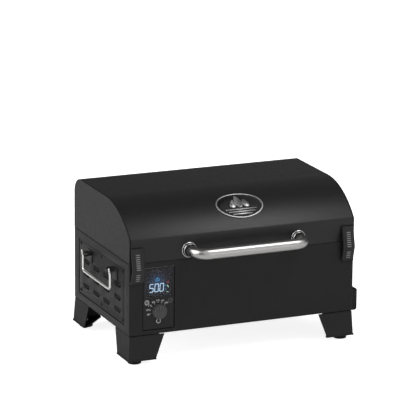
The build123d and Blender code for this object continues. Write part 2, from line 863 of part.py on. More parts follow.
with BuildPart() as hopper_lid:
    block(
        (hopper_low_x - 2, hopper_low_y, hopper_high_z + 0.5),
        (hopper_high_x + 2, hopper_high_y + 1.5, hopper_high_z + 2),
    )
    for low_x, high_x in ((hopper_low_x - 2, hopper_low_x - 0.8), (hopper_high_x + 0.8, hopper_high_x + 2)):
        block((low_x, hopper_low_y, hopper_high_z - 12), (high_x, hopper_high_y + 1.5, hopper_high_z + 1))
    for hinge_x in hopper_hinge_xs:
        block(
            (hinge_x - 12, hopper_high_y - 20, hopper_high_z + 2),
            (hinge_x + 12, hopper_hinge_y, hopper_high_z + 3.5),
        )
        rod(
            (hinge_x - 12, hopper_hinge_y, hopper_hinge_z + 1),
            (hinge_x + 12, hopper_hinge_y, hopper_hinge_z + 1),
            hinge_barrel_radius,
        )
        rod(
            (hinge_x - 13, hopper_hinge_y, hopper_hinge_z + 1),
            (hinge_x + 13, hopper_hinge_y, hopper_hinge_z + 1),
            hinge_pin_radius + running_gap,
            mode=Mode.SUBTRACT,
        )
    block((mid_x - 40, rear + 20, hopper_high_z + 2), (mid_x + 40, rear + 23, hopper_high_z + 14))
save(hopper_lid, "hopper_lid")

with BuildPart() as power_inlet:
    block(
        (inlet_x - 14, hopper_high_y - 22, inlet_z - 10.5),
        (inlet_x + 14, hopper_high_y, inlet_z + 10.5),
    )
    block((inlet_x - 25, hopper_high_y, inlet_z - 12), (inlet_x + 25, hopper_high_y + 2.5, inlet_z + 12))
    block(
        (inlet_x - 11.5, hopper_high_y - 16, inlet_z - 8),
        (inlet_x + 11.5, hopper_high_y + 5, inlet_z + 8),
        mode=Mode.SUBTRACT,
    )
    for offset_x, offset_z in ((-7, -2), (0, 3), (7, -2)):
        pin_x = inlet_x + offset_x
        pin_z = inlet_z + offset_z
        block((pin_x - 1, hopper_high_y - 16, pin_z - 2), (pin_x + 1, hopper_high_y - 1, pin_z + 2))
save(power_inlet, "power_inlet")

# ---------------------------------------------------------------------------
# Lid: curved wrap, two end caps, badge, handle and hinges
# ---------------------------------------------------------------------------

arc_radius = 185.0
arc_centre = (front + 145.0, top - arc_radius)
bend_radius = 10.0
bend_rise = sqrt((arc_radius - bend_radius) ** 2 - (arc_centre[0] - front - bend_radius) ** 2)
bend_centre = (front + bend_radius, arc_centre[1] + bend_rise)
rear_radius = 38.0
lid_sheet = 1.5
lid_low_z = seam + seam_gap


def lid_outline(inset):
    """Closed edge of the lid's side outline, moved inwards from the outer skin by inset."""
    reach = atan2(bend_centre[1] - arc_centre[1], bend_centre[0] - arc_centre[0])
    big = arc_radius - inset
    small = bend_radius - inset
    joint = (arc_centre[0] + big * cos(reach), arc_centre[1] + big * sin(reach))
    turn = (reach + radians(90)) / 2
    crown = (arc_centre[0] + big * cos(turn), arc_centre[1] + big * sin(turn))
    halfway = (reach + radians(180)) / 2
    bend_mid = (bend_centre[0] + small * cos(halfway), bend_centre[1] + small * sin(halfway))
    bend_end = (bend_centre[0] - small, bend_centre[1])
    high = arc_centre[1] + big
    back = rear - inset
    corner = rear_radius - inset
    corner_y = rear - rear_radius
    corner_z = high - corner
    corner_mid = (corner_y + corner * cos(radians(45)), corner_z + corner * sin(radians(45)))
    ThreePointArc(bend_end, bend_mid, joint)
    ThreePointArc(joint, crown, (arc_centre[0], high))
    Line((arc_centre[0], high), (corner_y, high))
    ThreePointArc((corner_y, high), corner_mid, (back, corner_z))
    Line((back, corner_z), (back, lid_low_z))
    Line((back, lid_low_z), (bend_end[0], lid_low_z))
    Line((bend_end[0], lid_low_z), bend_end)


cap_thickness = 1.5
cap_flange = 14.0


def lid_slab(inset, x_low, x_high, mode=Mode.ADD):
    """Solid with the lid's side outline between two X positions."""
    with BuildSketch(Plane.YZ.offset(x_low)) as outline:
        with BuildLine():
            lid_outline(inset)
        make_face()
    extrude(outline.sketch, amount=x_high - x_low, mode=mode)


handle_y = front - 50.0
handle_z = bottom + 189.5
handle_radius = 12.7
handle_low_x = left + 145.0
handle_high_x = left + 417.0
handle_bend = 28.0
badge_x = left + 291.0
badge_angle = radians(120.4)
badge_half_width = 59.0
badge_half_height = 40.0
badge_thickness = 2.5
handle_bolt_radius = 3.0

with BuildPart() as lid_shell:
    lid_slab(0, left, right)
    lid_slab(lid_sheet, left - 1, right + 1, mode=Mode.SUBTRACT)
    block(
        (left - 1, front + lid_sheet, seam),
        (right + 1, rear - lid_sheet, lid_low_z + 3),
        mode=Mode.SUBTRACT,
    )
    for bolt_x in (handle_low_x, handle_high_x):
        rod(
            (bolt_x, front - 5, handle_z),
            (bolt_x, front + 5, handle_z),
            handle_bolt_radius,
            mode=Mode.SUBTRACT,
        )
save(lid_shell, "lid_shell")

# Each end cap is a flat plate with a flange that runs round inside the curved shell.
for name, outer_x, inward in (("lid_end_left", left, 1), ("lid_end_right", right, -1)):
    plate_x = outer_x + inward * cap_thickness
    cap_xs = sorted((outer_x, plate_x + inward * cap_flange))
    hollow_xs = sorted((plate_x, plate_x + inward * (cap_flange + 1)))
    with BuildPart() as lid_end:
        lid_slab(lid_sheet, *cap_xs)
        lid_slab(2 * lid_sheet, *hollow_xs, mode=Mode.SUBTRACT)
        block(
            (hollow_xs[0], front + 2 * lid_sheet, seam),
            (hollow_xs[1], rear - 2 * lid_sheet, seam + 20),
            mode=Mode.SUBTRACT,
        )
    save(lid_end, name)

# The badge stands on the crown of the lid, square to the curve.
badge_plane = Plane(
    origin=(
        badge_x,
        arc_centre[0] + arc_radius * cos(badge_angle),
        arc_centre[1] + arc_radius * sin(badge_angle),
    ),
    x_dir=(1, 0, 0),
    z_dir=(0, cos(badge_angle), sin(badge_angle)),
)
with BuildPart() as lid_badge:
    with BuildSketch(badge_plane.offset(-8)):
        Ellipse(badge_half_width, badge_half_height)
    extrude(amount=12)
    lid_slab(-badge_thickness, left, right, mode=Mode.INTERSECT)
    lid_slab(0, left, right, mode=Mode.SUBTRACT)
save(lid_badge, "lid_badge")

bezel_radius = 18.0
bezel_reach = 10.0
with BuildPart() as handle_bezels:
    for bezel_x in (handle_low_x, handle_high_x):
        rod((bezel_x, front, handle_z), (bezel_x, front - 4, handle_z), bezel_radius)
        rod((bezel_x, front - 4, handle_z), (bezel_x, front - bezel_reach, handle_z), bezel_radius - 2.5)
        rod(
            (bezel_x, front + 1, handle_z),
            (bezel_x, front - 4, handle_z),
            handle_bolt_radius,
            Mode.SUBTRACT,
        )
        rod((bezel_x, front - 4, handle_z), (bezel_x, front - 12, handle_z), handle_radius, Mode.SUBTRACT)
save(handle_bezels, "handle_bezels")

with BuildPart() as lid_handle:
    with BuildLine() as handle_path:
        FilletPolyline(
            (handle_low_x, front - 4, handle_z),
            (handle_low_x, handle_y, handle_z),
            (handle_high_x, handle_y, handle_z),
            (handle_high_x, front - 4, handle_z),
            radius=handle_bend,
        )
    with BuildSketch(Plane(origin=(handle_low_x, front - 4, handle_z), z_dir=(0, -1, 0))):
        Circle(handle_radius)
    sweep(path=handle_path.wires()[0])
    for bolt_x in (handle_low_x, handle_high_x):
        rod(
            (bolt_x, front - 4, handle_z),
            (bolt_x, front - 18, handle_z),
            handle_bolt_radius,
            Mode.SUBTRACT,
        )
save(lid_handle, "lid_handle")

with BuildPart() as handle_bolts:
    for bolt_x in (handle_low_x, handle_high_x):
        rod((bolt_x, front + lid_sheet, handle_z), (bolt_x, front - 18, handle_z), handle_bolt_radius)
        rod((bolt_x, front + lid_sheet, handle_z), (bolt_x, front + lid_sheet + 4, handle_z), 6.5)
save(handle_bolts, "handle_bolts")

# Lid hinges: a leaf on the body, a leaf on the lid and a pin, at both rear corners.
hinge_y = rear + 5.5
hinge_z = seam + seam_gap / 2
hinge_half = 20.0
knuckle = 8.0
lid_hinge_xs = {"left": left + 60.0, "right": right - 60.0}
hinge_leaf = 1.5
with BuildPart() as hinge_leaves_body:
    for hinge_x in lid_hinge_xs.values():
        block(
            (hinge_x - hinge_half, rear, seam - 30),
            (hinge_x + hinge_half, rear + hinge_leaf, seam - 5),
        )
        for low_x, high_x in (
            (hinge_x - hinge_half, hinge_x - hinge_half + knuckle),
            (hinge_x + hinge_half - knuckle, hinge_x + hinge_half),
        ):
            block((low_x, rear, seam - 10), (high_x, rear + hinge_leaf + 1, hinge_z))
            rod((low_x, hinge_y, hinge_z), (high_x, hinge_y, hinge_z), hinge_barrel_radius)
            block((low_x, rear + 1, hinge_z - hinge_barrel_radius), (high_x, hinge_y, hinge_z))
        rod(
            (hinge_x - hinge_half - 1, hinge_y, hinge_z),
            (hinge_x + hinge_half + 1, hinge_y, hinge_z),
            hinge_pin_radius,
            mode=Mode.SUBTRACT,
        )
    for hinge_x in hopper_hinge_xs:
        block(
            (hinge_x - 18, hopper_high_y, hopper_high_z - 26),
            (hinge_x + 18, hopper_high_y + 1.5, hopper_high_z - 4),
        )
        for low_x, high_x in ((hinge_x - 18, hinge_x - 12.5), (hinge_x + 12.5, hinge_x + 18)):
            side_profile(
                [
                    (hopper_high_y + 1.5, hopper_high_z - 26),
                    (hopper_hinge_y + hinge_barrel_radius, hopper_hinge_z - 4),
                    (hopper_hinge_y + hinge_barrel_radius, hopper_hinge_z + 4.2),
                    (hopper_high_y + 2.5, hopper_hinge_z + 4.2),
                    (hopper_high_y + 2.5, hopper_high_z - 4),
                    (hopper_high_y + 1.5, hopper_high_z - 4),
                ],
                low_x,
                high_x,
            )
            rod(
                (low_x - 1, hopper_hinge_y, hopper_hinge_z + 1),
                (high_x + 1, hopper_hinge_y, hopper_hinge_z + 1),
                hinge_pin_radius,
                mode=Mode.SUBTRACT,
            )
save(hinge_leaves_body, "hinge_leaves_body")

with BuildPart() as hinge_leaves_lid:
    for hinge_x in lid_hinge_xs.values():
        low_x = hinge_x - hinge_half + knuckle + 0.4
        high_x = hinge_x + hinge_half - knuckle - 0.4
        block((low_x, rear, seam + 3), (high_x, rear + hinge_leaf, seam + 30))
        block((low_x, rear + 0.2, hinge_z), (high_x, hinge_y, hinge_z + hinge_barrel_radius))
        rod((low_x, hinge_y, hinge_z), (high_x, hinge_y, hinge_z), hinge_barrel_radius)
        rod(
            (low_x - 1, hinge_y, hinge_z),
            (high_x + 1, hinge_y, hinge_z),
            hinge_pin_radius + running_gap,
            mode=Mode.SUBTRACT,
        )
save(hinge_leaves_lid, "hinge_leaves_lid")

with BuildPart() as hinge_pins:
    for hinge_x in lid_hinge_xs.values():
        rod(
            (hinge_x - hinge_half - 1.5, hinge_y, hinge_z),
            (hinge_x + hinge_half + 1.5, hinge_y, hinge_z),
            hinge_pin_radius,
        )
    for hinge_x in hopper_hinge_xs:
        rod(
            (hinge_x - 19, hopper_hinge_y, hopper_hinge_z + 1),
            (hinge_x + 19, hopper_hinge_y, hopper_hinge_z + 1),
            hinge_pin_radius,
        )
save(hinge_pins, "hinge_pins")

# ---------------------------------------------------------------------------
# Latches: a bent lever on the body whose top end closes over a keeper on the lid
# ---------------------------------------------------------------------------

latch_pin_radius = 1.2
latch_barrel_radius = 2.4
latch_pivot_y = front - 3.2
latch_pivot_z = bottom + 126.0
latch_plate = 1.5
latch_bend = (front - 14.0, bottom + 156.5)
latch_tip = (front - 3.6, bottom + 205.0)
latch_spans = {"left": (left + 1.0, left + 30.0), "right": (right - 30.0, right - 1.0)}

for name, (low_x, high_x) in latch_spans.items():
    with BuildPart() as latch_lever:
        lever_low_y = latch_pivot_y - latch_barrel_radius
        side_profile(
            [
                (lever_low_y, latch_pivot_z),
                (latch_bend[0], latch_bend[1]),
                (latch_tip[0], latch_tip[1]),
                (latch_tip[0] + latch_plate, latch_tip[1] - 0.3),
                (latch_bend[0] + latch_plate, latch_bend[1]),
                (lever_low_y + latch_plate, latch_pivot_z),
            ],
            low_x,
            high_x,
        )
        rod(
            (low_x + 5.3, latch_pivot_y, latch_pivot_z),
            (high_x - 5.3, latch_pivot_y, latch_pivot_z),
            latch_barrel_radius,
        )
        block(
            (low_x - 1, latch_pivot_y - 4, latch_pivot_z - 6),
            (low_x + 5.3, latch_pivot_y + 6, latch_pivot_z + 7),
            mode=Mode.SUBTRACT,
        )
        block(
            (high_x - 5.3, latch_pivot_y - 4, latch_pivot_z - 6),
            (high_x + 1, latch_pivot_y + 6, latch_pivot_z + 7),
            mode=Mode.SUBTRACT,
        )
        rod(
            (low_x, latch_pivot_y, latch_pivot_z),
            (high_x, latch_pivot_y, latch_pivot_z),
            latch_pin_radius + running_gap,
            mode=Mode.SUBTRACT,
        )
    save(latch_lever, f"latch_lever_{name}")

with BuildPart() as latch_bases:
    for low_x, high_x in latch_spans.values():
        block(
            (low_x + 1.5, front - 1.0, latch_pivot_z + 6),
            (high_x - 1.5, front, bottom + 150),
        )
        for lug_low_x, lug_high_x in ((low_x + 1.5, low_x + 4.8), (high_x - 4.8, high_x - 1.5)):
            block(
                (lug_low_x, latch_pivot_y - 2.2, latch_pivot_z - 4),
                (lug_high_x, front, latch_pivot_z + 6),
            )
            rod(
                (lug_low_x - 1, latch_pivot_y, latch_pivot_z),
                (lug_high_x + 1, latch_pivot_y, latch_pivot_z),
                latch_pin_radius,
                mode=Mode.SUBTRACT,
            )
save(latch_bases, "latch_bases")

with BuildPart() as latch_pins:
    for low_x, high_x in latch_spans.values():
        rod(
            (low_x + 1.0, latch_pivot_y, latch_pivot_z),
            (high_x - 1.0, latch_pivot_y, latch_pivot_z),
            latch_pin_radius,
        )
save(latch_pins, "latch_pins")

with BuildPart() as latch_keepers:
    for low_x, high_x in latch_spans.values():
        block((low_x + 4, front - 1.0, seam + 6), (high_x - 4, front, seam + 28))
        block((low_x + 8, front - 4.5, seam + 10), (high_x - 8, front - 1.0, seam + 13))
        block((low_x + 8, front - 4.5, seam + 13), (high_x - 8, front - 3.3, seam + 16))
save(latch_keepers, "latch_keepers")

# ---------------------------------------------------------------------------
# Carry handles: a bent steel rod that hangs in two brackets on each side
# ---------------------------------------------------------------------------

bail_radius = 3.25
bail_grip_radius = 4.3
bail_grip_inset = 6.0
bail_out = 15.0
bail_low_y = front + 78.5
bail_high_y = front + 248.0
bail_pivot_z = bottom + 134.0
bail_drop = 42.0
bail_end = 16.0
bail_knee = 11.0
bail_lean = 3.0
bail_tip = 5.0
bail_bend = 8.0
eye_radius = 5.5

for name, wall_x, outward in (("left", left, -1), ("right", right, 1)):
    pivot_x = wall_x + outward * bail_out
    with BuildPart() as carry_handle:
        with BuildLine() as bail_path:
            FilletPolyline(
                (pivot_x, bail_low_y + bail_end, bail_pivot_z),
                (pivot_x, bail_low_y, bail_pivot_z),
                (pivot_x, bail_low_y, bail_pivot_z - bail_drop),
                (pivot_x, bail_high_y, bail_pivot_z - bail_drop),
                (pivot_x, bail_high_y, bail_pivot_z),
                (pivot_x, bail_high_y - bail_end, bail_pivot_z),
                radius=bail_bend,
            )
        with BuildSketch(Plane(origin=(pivot_x, bail_low_y + bail_end, bail_pivot_z), z_dir=(0, -1, 0))):
            Circle(bail_radius)
        sweep(path=bail_path.wires()[0])
        rod(
            (pivot_x, bail_low_y + bail_grip_inset, bail_pivot_z - bail_drop),
            (pivot_x, bail_high_y - bail_grip_inset, bail_pivot_z - bail_drop),
            bail_grip_radius,
        )
        for arm_y in (bail_low_y, bail_high_y):
            rod(
                (pivot_x, arm_y, bail_pivot_z - bail_knee),
                (pivot_x + outward * bail_lean, arm_y, bail_pivot_z + bail_tip),
                bail_radius * 0.9,
            )
    save(carry_handle, f"carry_handle_{name}")

with BuildPart() as carry_handle_brackets:
    for wall_x, outward in ((left, -1), (right, 1)):
        pivot_x = wall_x + outward * bail_out
        for arm_y, inward in ((bail_low_y, 1), (bail_high_y, -1)):
            plate_ys = sorted((arm_y - 8 * inward, arm_y + 20 * inward))
            plate_xs = sorted((wall_x, wall_x + outward * 2))
            block(
                (plate_xs[0], plate_ys[0], bail_pivot_z - 22),
                (plate_xs[1], plate_ys[1], bail_pivot_z + 6),
            )
            eye_ys = sorted((arm_y + 8.5 * inward, arm_y + 20 * inward))
            eye_xs = sorted((wall_x, pivot_x))
            block(
                (eye_xs[0], eye_ys[0], bail_pivot_z - 4),
                (eye_xs[1], eye_ys[1], bail_pivot_z + eye_radius),
            )
            rod((pivot_x, eye_ys[0], bail_pivot_z), (pivot_x, eye_ys[1], bail_pivot_z), eye_radius)
            rod(
                (pivot_x, eye_ys[0] - 1, bail_pivot_z),
                (pivot_x, eye_ys[1] + 1, bail_pivot_z),
                bail_radius + running_gap,
                mode=Mode.SUBTRACT,
            )
save(carry_handle_brackets, "carry_handle_brackets")
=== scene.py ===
"""Looks of the tabletop pellet grill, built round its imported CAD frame. Lengths are in metres."""

import json
from math import atan2, cos, pi, radians, sin, sqrt

import bmesh
import bpy
from mathutils import Matrix, Vector

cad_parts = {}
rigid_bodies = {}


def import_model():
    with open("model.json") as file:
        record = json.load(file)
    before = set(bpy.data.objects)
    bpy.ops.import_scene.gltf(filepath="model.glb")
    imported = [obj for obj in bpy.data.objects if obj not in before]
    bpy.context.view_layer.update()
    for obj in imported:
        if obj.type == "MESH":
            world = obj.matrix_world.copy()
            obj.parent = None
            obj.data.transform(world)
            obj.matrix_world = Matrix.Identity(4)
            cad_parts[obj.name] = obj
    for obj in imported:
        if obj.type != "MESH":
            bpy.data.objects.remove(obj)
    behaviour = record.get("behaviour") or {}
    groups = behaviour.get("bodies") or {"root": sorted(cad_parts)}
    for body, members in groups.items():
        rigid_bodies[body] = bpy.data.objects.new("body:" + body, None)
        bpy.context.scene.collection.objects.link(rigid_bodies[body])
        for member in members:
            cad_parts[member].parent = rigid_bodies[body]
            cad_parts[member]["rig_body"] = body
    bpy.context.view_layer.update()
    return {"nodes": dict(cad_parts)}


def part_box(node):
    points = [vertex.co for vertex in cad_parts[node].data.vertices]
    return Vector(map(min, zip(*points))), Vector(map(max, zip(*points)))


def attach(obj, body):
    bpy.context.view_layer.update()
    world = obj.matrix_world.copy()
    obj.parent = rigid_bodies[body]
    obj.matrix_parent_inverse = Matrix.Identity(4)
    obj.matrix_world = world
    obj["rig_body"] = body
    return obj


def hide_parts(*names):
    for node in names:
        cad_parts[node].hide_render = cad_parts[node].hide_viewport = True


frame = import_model()

# === Places, read from the frame. at() takes millimetres from the body's front left bottom corner. ===

MM = 0.001
panel_low, panel_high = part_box("body_front_panel")
left, right = panel_low.x, panel_high.x
front, bottom, seam = panel_low.y, panel_low.z, panel_high.z
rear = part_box("body_rear_panel")[1].y
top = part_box("lid_shell")[1].z
lid_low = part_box("lid_shell")[0].z
width = (right - left) / MM
depth = (rear - front) / MM
SHEET = 1.5


def at(x, y, z):
    """Point from offsets in millimetres from the left side, the front and the floor plate."""
    return Vector((left + x * MM, front + y * MM, bottom + z * MM))


def middle(node):
    """Centre of a CAD node's box."""
    low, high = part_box(node)
    return (low + high) / 2


# === Materials: procedural, in object coordinates, which are the row's own at rest ===

NOISE_LOW = 0.3
NOISE_HIGH = 0.7


def set_inputs(node, values):
    """Set a node's sockets to the values in a dictionary, and return the node."""
    for name, value in values.items():
        node.inputs[name].default_value = value
    return node


class Finish:
    """A Principled material and short calls to add its nodes."""

    def __init__(self, name, colour, roughness, metallic=0.0, specular=0.5):
        self.material = bpy.data.materials.new(name)
        self.material.use_nodes = True
        self.tree = self.material.node_tree
        self.shader = self.tree.nodes["Principled BSDF"]
        set_inputs(self.shader, {
            "Base Color": (*colour, 1.0),
            "Roughness": roughness,
            "Metallic": metallic,
            "Specular IOR Level": specular,
        })
        self.place = self.node("ShaderNodeTexCoord").outputs["Object"]
        self.height = None

    def node(self, kind):
        return self.tree.nodes.new(kind)

    def link(self, source, target):
        self.tree.links.new(source, target)

    def stretched(self, scale):
        """Object coordinates scaled along each axis."""
        mapping = set_inputs(self.node("ShaderNodeMapping"), {"Scale": scale})
        self.link(self.place, mapping.inputs["Vector"])
        return mapping.outputs["Vector"]

    def noise(self, scale, detail=3.0, roughness=0.5, vector=None):
        """Noise whose features are about one over scale metres wide."""
        texture = self.node("ShaderNodeTexNoise")
        set_inputs(texture, {"Scale": scale, "Detail": detail, "Roughness": roughness})
        self.link(vector or self.place, texture.inputs["Vector"])
        return texture.outputs["Fac"]

    def ramp(self, factor, stops):
        """Colour ramp; each stop is (position, colour)."""
        ramp = self.node("ShaderNodeValToRGB")
        elements = ramp.color_ramp.elements
        while len(elements) < len(stops):
            elements.new(0.5)
        for element, (position, colour) in zip(elements, stops):
            element.position = position
            element.color = (*colour, 1.0)
        self.link(factor, ramp.inputs["Fac"])
        return ramp.outputs["Color"]

    def spread(self, factor, low, high):
        """Map a noise to the range low to high."""
        remap = self.node("ShaderNodeMapRange")
        set_inputs(remap, {"From Min": NOISE_LOW, "From Max": NOISE_HIGH, "To Min": low, "To Max": high})
        self.link(factor, remap.inputs["Value"])
        return remap.outputs["Result"]

    def tint(self, factor, dark, light):
        """Base colour that runs from dark to light with a noise."""
        colour = self.ramp(factor, [(NOISE_LOW, dark), (NOISE_HIGH, light)])
        self.link(colour, self.shader.inputs["Base Color"])

    def rough(self, factor, low, high):
        """Roughness that runs from low to high with a noise."""
        self.link(self.spread(factor, low, high), self.shader.inputs["Roughness"])

    def bump(self, factor, strength, distance):
        """Add a bump on top of those already there."""
        bump = set_inputs(self.node("ShaderNodeBump"), {"Strength": strength, "Distance": distance})
        self.link(factor, bump.inputs["Height"])
        if self.height:
            self.link(self.height, bump.inputs["Normal"])
        self.height = bump.outputs["Normal"]
        self.link(self.height, self.shader.inputs["Normal"])


def grey(value):
    """Colour with no hue."""
    return (value, value, value)


def powder_coat(name, dark, light, roughness, specular):
    """Textured black powder coat: fine orange peel, faint mottling, dust in the grain."""
    finish = Finish(name, grey(light), roughness, specular=specular)
    mottle = finish.noise(35, detail=4)
    finish.tint(mottle, grey(dark), grey(light))
    finish.rough(finish.noise(140, detail=3), roughness - 0.03, roughness + 0.04)
    finish.bump(finish.noise(900, detail=2), 0.07, 0.0004)
    finish.bump(finish.noise(2600, detail=2), 0.10, 0.0002)
    return finish.material


coat = powder_coat("black_powder_coat", 0.0124, 0.0138, 0.46, 0.14)
lid_coat = powder_coat("lid_powder_coat", 0.0092, 0.0104, 0.38, 0.30)
# Lighter than coat. On the bail brackets this lighter coat is painted light: it lifts the shade that falls
# on them.
latch_and_bracket_lift_coat = powder_coat("latch_and_bracket_lift_powder_coat", 0.0150, 0.0190, 0.44, 0.20)
hopper_coat = powder_coat("hopper_powder_coat", 0.0120, 0.0155, 0.50, 0.16)


def moulded_plastic(name, dark, light, roughness):
    """Plastic with a fine spark-eroded grain."""
    finish = Finish(name, grey(light), roughness, specular=0.2)
    finish.tint(finish.noise(60, detail=3), grey(dark), grey(light))
    finish.rough(finish.noise(300), roughness - 0.05, roughness + 0.05)
    finish.bump(finish.noise(3500, detail=2), 0.10, 0.00015)
    return finish.material


fascia_plastic = moulded_plastic("fascia_plastic", 0.0100, 0.0125, 0.45)
knob_plastic = moulded_plastic("knob_plastic", 0.044, 0.054, 0.40)
dark_plastic = moulded_plastic("dark_plastic", 0.010, 0.014, 0.50)


def brushed_metal(name, dark, light, roughness, grain, colour_shift=0.0):
    """Metal with fine scratches; grain is the noise scale along each axis, low along the brushing."""
    warm = (1.0, 1.0 - colour_shift, 1.0 - 2.4 * colour_shift)
    finish = Finish(name, [light * w for w in warm], roughness, metallic=1.0)
    scratch = finish.noise(1.0, detail=4, roughness=0.65, vector=finish.stretched(grain))
    finish.tint(scratch, [dark * w for w in warm], [light * w for w in warm])
    finish.rough(scratch, roughness - 0.05, roughness + 0.08)
    finish.bump(scratch, 0.06, 0.0002)
    return finish.material


tube_steel = brushed_metal("tube_stainless", 0.37, 0.46, 0.28, (40, 2200, 2200), 0.012)
rod_steel = brushed_metal("rod_stainless", 0.66, 0.80, 0.30, (900, 60, 900), 0.010)
chrome = brushed_metal("bezel_chrome", 0.54, 0.64, 0.20, (900, 900, 900))
zinc = brushed_metal("zinc_plate", 0.26, 0.36, 0.36, (500, 500, 500))
dark_screw = brushed_metal("black_screw", 0.012, 0.020, 0.42, (500, 500, 500))
bare_steel = brushed_metal("galvanised_steel", 0.34, 0.46, 0.38, (60, 60, 90))
badge_dark = brushed_metal("badge_field", 0.035, 0.055, 0.42, (700, 60, 60))
badge_metal = brushed_metal("badge_silver", 0.34, 0.46, 0.38, (900, 300, 300))
grip_metal = brushed_metal("grip_bar_metal", 0.16, 0.24, 0.42, (900, 300, 300))


def rubber():
    finish = Finish("black_rubber", grey(0.010), 0.75, specular=0.3)
    finish.tint(finish.noise(120), grey(0.008), grey(0.014))
    finish.bump(finish.noise(1800, detail=2), 0.2, 0.0003)
    return finish.material


def enamel():
    """Black porcelain enamel with a slight pebble and baked-on brown film."""
    finish = Finish("porcelain_enamel", grey(0.012), 0.28, specular=0.5)
    finish.tint(finish.noise(28, detail=5), (0.010, 0.010, 0.010), (0.022, 0.018, 0.014))
    finish.rough(finish.noise(60), 0.22, 0.45)
    finish.bump(finish.noise(500, detail=2), 0.15, 0.0004)
    return finish.material


def soot_steel():
    """Steel near the fire: heat-tinted and sooty in patches."""
    finish = Finish("heated_steel", (0.16, 0.13, 0.11), 0.5, metallic=1.0)
    finish.tint(finish.noise(22, detail=6), (0.045, 0.038, 0.034), (0.24, 0.19, 0.15))
    finish.rough(finish.noise(90), 0.38, 0.62)
    finish.bump(finish.noise(700), 0.15, 0.0003)
    return finish.material


def circuit_board():
    finish = Finish("circuit_board", (0.01, 0.05, 0.03), 0.4)
    finish.tint(finish.noise(400, detail=1), (0.006, 0.030, 0.018), (0.012, 0.060, 0.035))
    finish.bump(finish.noise(900), 0.1, 0.0002)
    return finish.material


def window_glass():
    """Smoked clear acrylic with a faint haze."""
    finish = Finish("window_acrylic", (0.9, 0.9, 0.92), 0.06, specular=0.5)
    set_inputs(finish.shader, {"Transmission Weight": 1.0, "IOR": 1.15})
    finish.rough(finish.noise(200), 0.03, 0.09)
    return finish.material


def screen():
    """Dark display glass with a blue glow that fades from its middle."""
    finish = Finish("display_screen", (0.004, 0.005, 0.009), 0.25, specular=0.2)
    centre = middle("display_window")
    offset = finish.node("ShaderNodeVectorMath")
    offset.operation = "DISTANCE"
    offset.inputs[1].default_value = (centre.x - 2.5 * MM, centre.y + 3 * MM, centre.z)
    finish.link(finish.place, offset.inputs[0])
    glow = finish.node("ShaderNodeMapRange")
    set_inputs(glow, {"From Min": 0.005, "From Max": 0.025, "To Min": 1.0, "To Max": 0.0})
    finish.link(offset.outputs["Value"], glow.inputs["Value"])
    stops = [(0.0, (0.012, 0.012, 0.014)), (1.0, (0.030, 0.054, 0.110))]
    colour = finish.ramp(glow.outputs["Result"], stops)
    finish.link(colour, finish.shader.inputs["Emission Color"])
    set_inputs(finish.shader, {"Emission Strength": 1.0})
    finish.rough(finish.noise(150), 0.2, 0.3)
    return finish.material


def lit(name, colour, strength):
    """A lit segment or lamp behind the window, a little uneven as a light guide is."""
    finish = Finish(name, colour, 0.4)
    dim = [c * 0.75 for c in colour]
    glow = finish.ramp(finish.noise(500, detail=1), [(NOISE_LOW, dim), (NOISE_HIGH, colour)])
    finish.link(glow, finish.shader.inputs["Emission Color"])
    set_inputs(finish.shader, {"Emission Strength": strength})
    return finish.material


def print_ink(name, value):
    """Pad-printed marks on the fascia."""
    finish = Finish(name, grey(value), 0.55)
    finish.tint(finish.noise(900, detail=2), grey(value * 0.75), grey(value))
    return finish.material


rubber_black = rubber()
enamel_black = enamel()
fire_steel = soot_steel()
board_green = circuit_board()
acrylic = window_glass()
screen_dark = screen()
digit_light = lit("lit_digits", (0.55, 0.76, 0.92), 0.66)
blue_light = lit("lit_blue", (0.03, 0.16, 0.30), 0.9)
red_light = lit("lit_red", (0.24, 0.03, 0.07), 0.6)
green_light = lit("lit_green", (0.42, 0.60, 0.42), 0.65)
white_ink = print_ink("white_ink", 0.58)
dim_ink = print_ink("dim_ink", 0.10)

# === Mesh helpers: shapes are made in a bmesh, in the row frame ===


def smooth(mesh, angle):
    """Smooth shading with sharp edges above an angle."""
    mesh.shade_smooth()
    mesh.set_sharp_from_angle(angle=radians(angle))


def new_object(name, data):
    """Object in the scene that holds a mesh, a light or a camera."""
    made = bpy.data.objects.new(name, data)
    bpy.context.scene.collection.objects.link(made)
    return made


def mesh_object(shape, name):
    """Turn a bmesh into an object, and free it."""
    mesh = bpy.data.meshes.new(name)
    shape.to_mesh(mesh)
    shape.free()
    return new_object(name, mesh)


def plain_object(shape, name, material):
    """Turn a closed bmesh into an object that isn't a piece yet."""
    bmesh.ops.recalc_face_normals(shape, faces=shape.faces)
    piece = mesh_object(shape, name)
    piece.data.materials.append(material)
    return piece


def apply_modifiers(piece):
    """Bake the piece's modifiers into its mesh."""
    graph = bpy.context.evaluated_depsgraph_get()
    done = bpy.data.meshes.new_from_object(piece.evaluated_get(graph))
    piece.modifiers.clear()
    piece.data = done


def round_edges(piece, bevel, angle):
    """Bevel in two steps every edge sharper than an angle."""
    modifier = piece.modifiers.new("round", "BEVEL")
    modifier.width = bevel * MM
    modifier.segments = 2
    modifier.limit_method = "ANGLE"
    modifier.angle_limit = radians(angle)
    modifier.harden_normals = False
    apply_modifiers(piece)


def settle(piece, body, replaces=(), bevel=0.0, angle=32):
    """Round, smooth and attach a plain object; bevel is the rounding of its edges in millimetres."""
    if bevel:
        round_edges(piece, bevel, angle)
    smooth(piece.data, angle)
    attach(piece, body)
    if replaces:
        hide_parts(*replaces)


def finish_piece(shape, name, material, body, replaces=(), bevel=0.0, angle=32):
    """Turn a bmesh into a piece that rides a body."""
    settle(plain_object(shape, name, material), body, replaces, bevel, angle)


